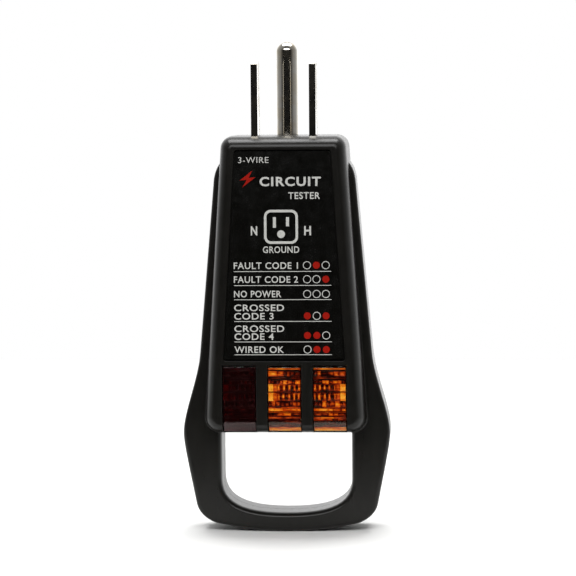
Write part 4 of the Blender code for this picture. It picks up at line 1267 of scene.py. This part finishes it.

# Colours that the windows' painted lightness runs through, from painted shade to painted glow
AMBER_PAINTED_LIGHT_STOPS = [(0.08, (0.012, 0.0004, 0.0002)), (0.28, (0.14, 0.008, 0.001)),
               (0.5, (0.6, 0.07, 0.004)), (0.72, (0.85, 0.24, 0.01)),
               (0.95, (1.0, 0.5, 0.06))]
RED_PAINTED_LIGHT_STOPS = [(0.0, (0.006, 0.0001, 0.0001)), (0.55, (0.012, 0.0002, 0.0002)),
             (1.0, (0.045, 0.0004, 0.0004))]
amber_prisms = prism_plastic("amber_prisms", AMBER_PAINTED_LIGHT_STOPS)
red_prisms = prism_plastic("red_prisms", RED_PAINTED_LIGHT_STOPS)
amber_skin = clear_skin("amber_skin", (1.0, 0.97, 0.88))
red_skin = clear_skin("red_skin", (0.95, 0.75, 0.75))
LENSES = [("lens_red", -LENS_PITCH, red_skin, red_prisms, "lens_red", 3),
          ("lens_amber_middle", 0.0, amber_skin, amber_prisms, "lens_amber", 11),
          ("lens_amber_right", LENS_PITCH, amber_skin, amber_prisms, "lens_amber", 24)]
for name, x, skin_material, prism_material, slot, seed in LENSES:
    piece(f"{name}_skin", smooth(lens_skin(x), 40), skin_material, slot, name)
    piece(f"{name}_prisms", prism_block(x, seed, seed % 2 == 0), prism_material, slot)

nickel = plated("nickel_bright", (0.64, 0.62, 0.57), 0.1)
for name, x in (("blade_neutral", -BLADE_SPACING / 2), ("blade_hot", BLADE_SPACING / 2)):
    piece(f"{name}_plated", smooth(blade_mesh(x), 30), nickel, "prong_nickel", name)
piece("ground_pin_plated", smooth(ground_pin_mesh(), 40), nickel, "prong_nickel", "ground_pin")

screw_zinc = plated("screw_zinc_black", (0.2, 0.2, 0.21), 0.3, lay=(1, 1, 1))
for place in SCREW_PLACES:
    piece(f"screw_{place}_threaded", smooth(screw_mesh(place), 30), screw_zinc,
          "screw_steel", f"screw_{place}")

# Carried-over CAD nodes
NODE_MATERIALS = {
    "legend_label": label_film(),
    "prong_carrier": plain_plastic("nylon_natural", (0.7, 0.66, 0.55), 0.5),
    "lamp_reflector": plain_plastic("reflector_white", (0.8, 0.8, 0.77), 0.4),
    "circuit_board": board_laminate(),
    "lamp_glass": clear_skin("lamp_glass", (0.96, 0.96, 0.95)),
    "lamp_lead": plated("lead_tinned", (0.7, 0.7, 0.68), 0.25),
    "resistor": resistor_lacquer(),
    "wire_hot": plain_plastic("wire_black", (0.015, 0.015, 0.015), 0.45),
    "wire_neutral": plain_plastic("wire_white", (0.75, 0.75, 0.72), 0.45),
    "wire_ground": plain_plastic("wire_green", (0.02, 0.25, 0.06), 0.45),
}
for prefix, material in NODE_MATERIALS.items():
    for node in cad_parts:
        if node.startswith(prefix):
            mesh = bpy.data.objects[node].data
            mesh.materials.clear()
            mesh.materials.append(material)

bpy.data.collections.remove(scratch)
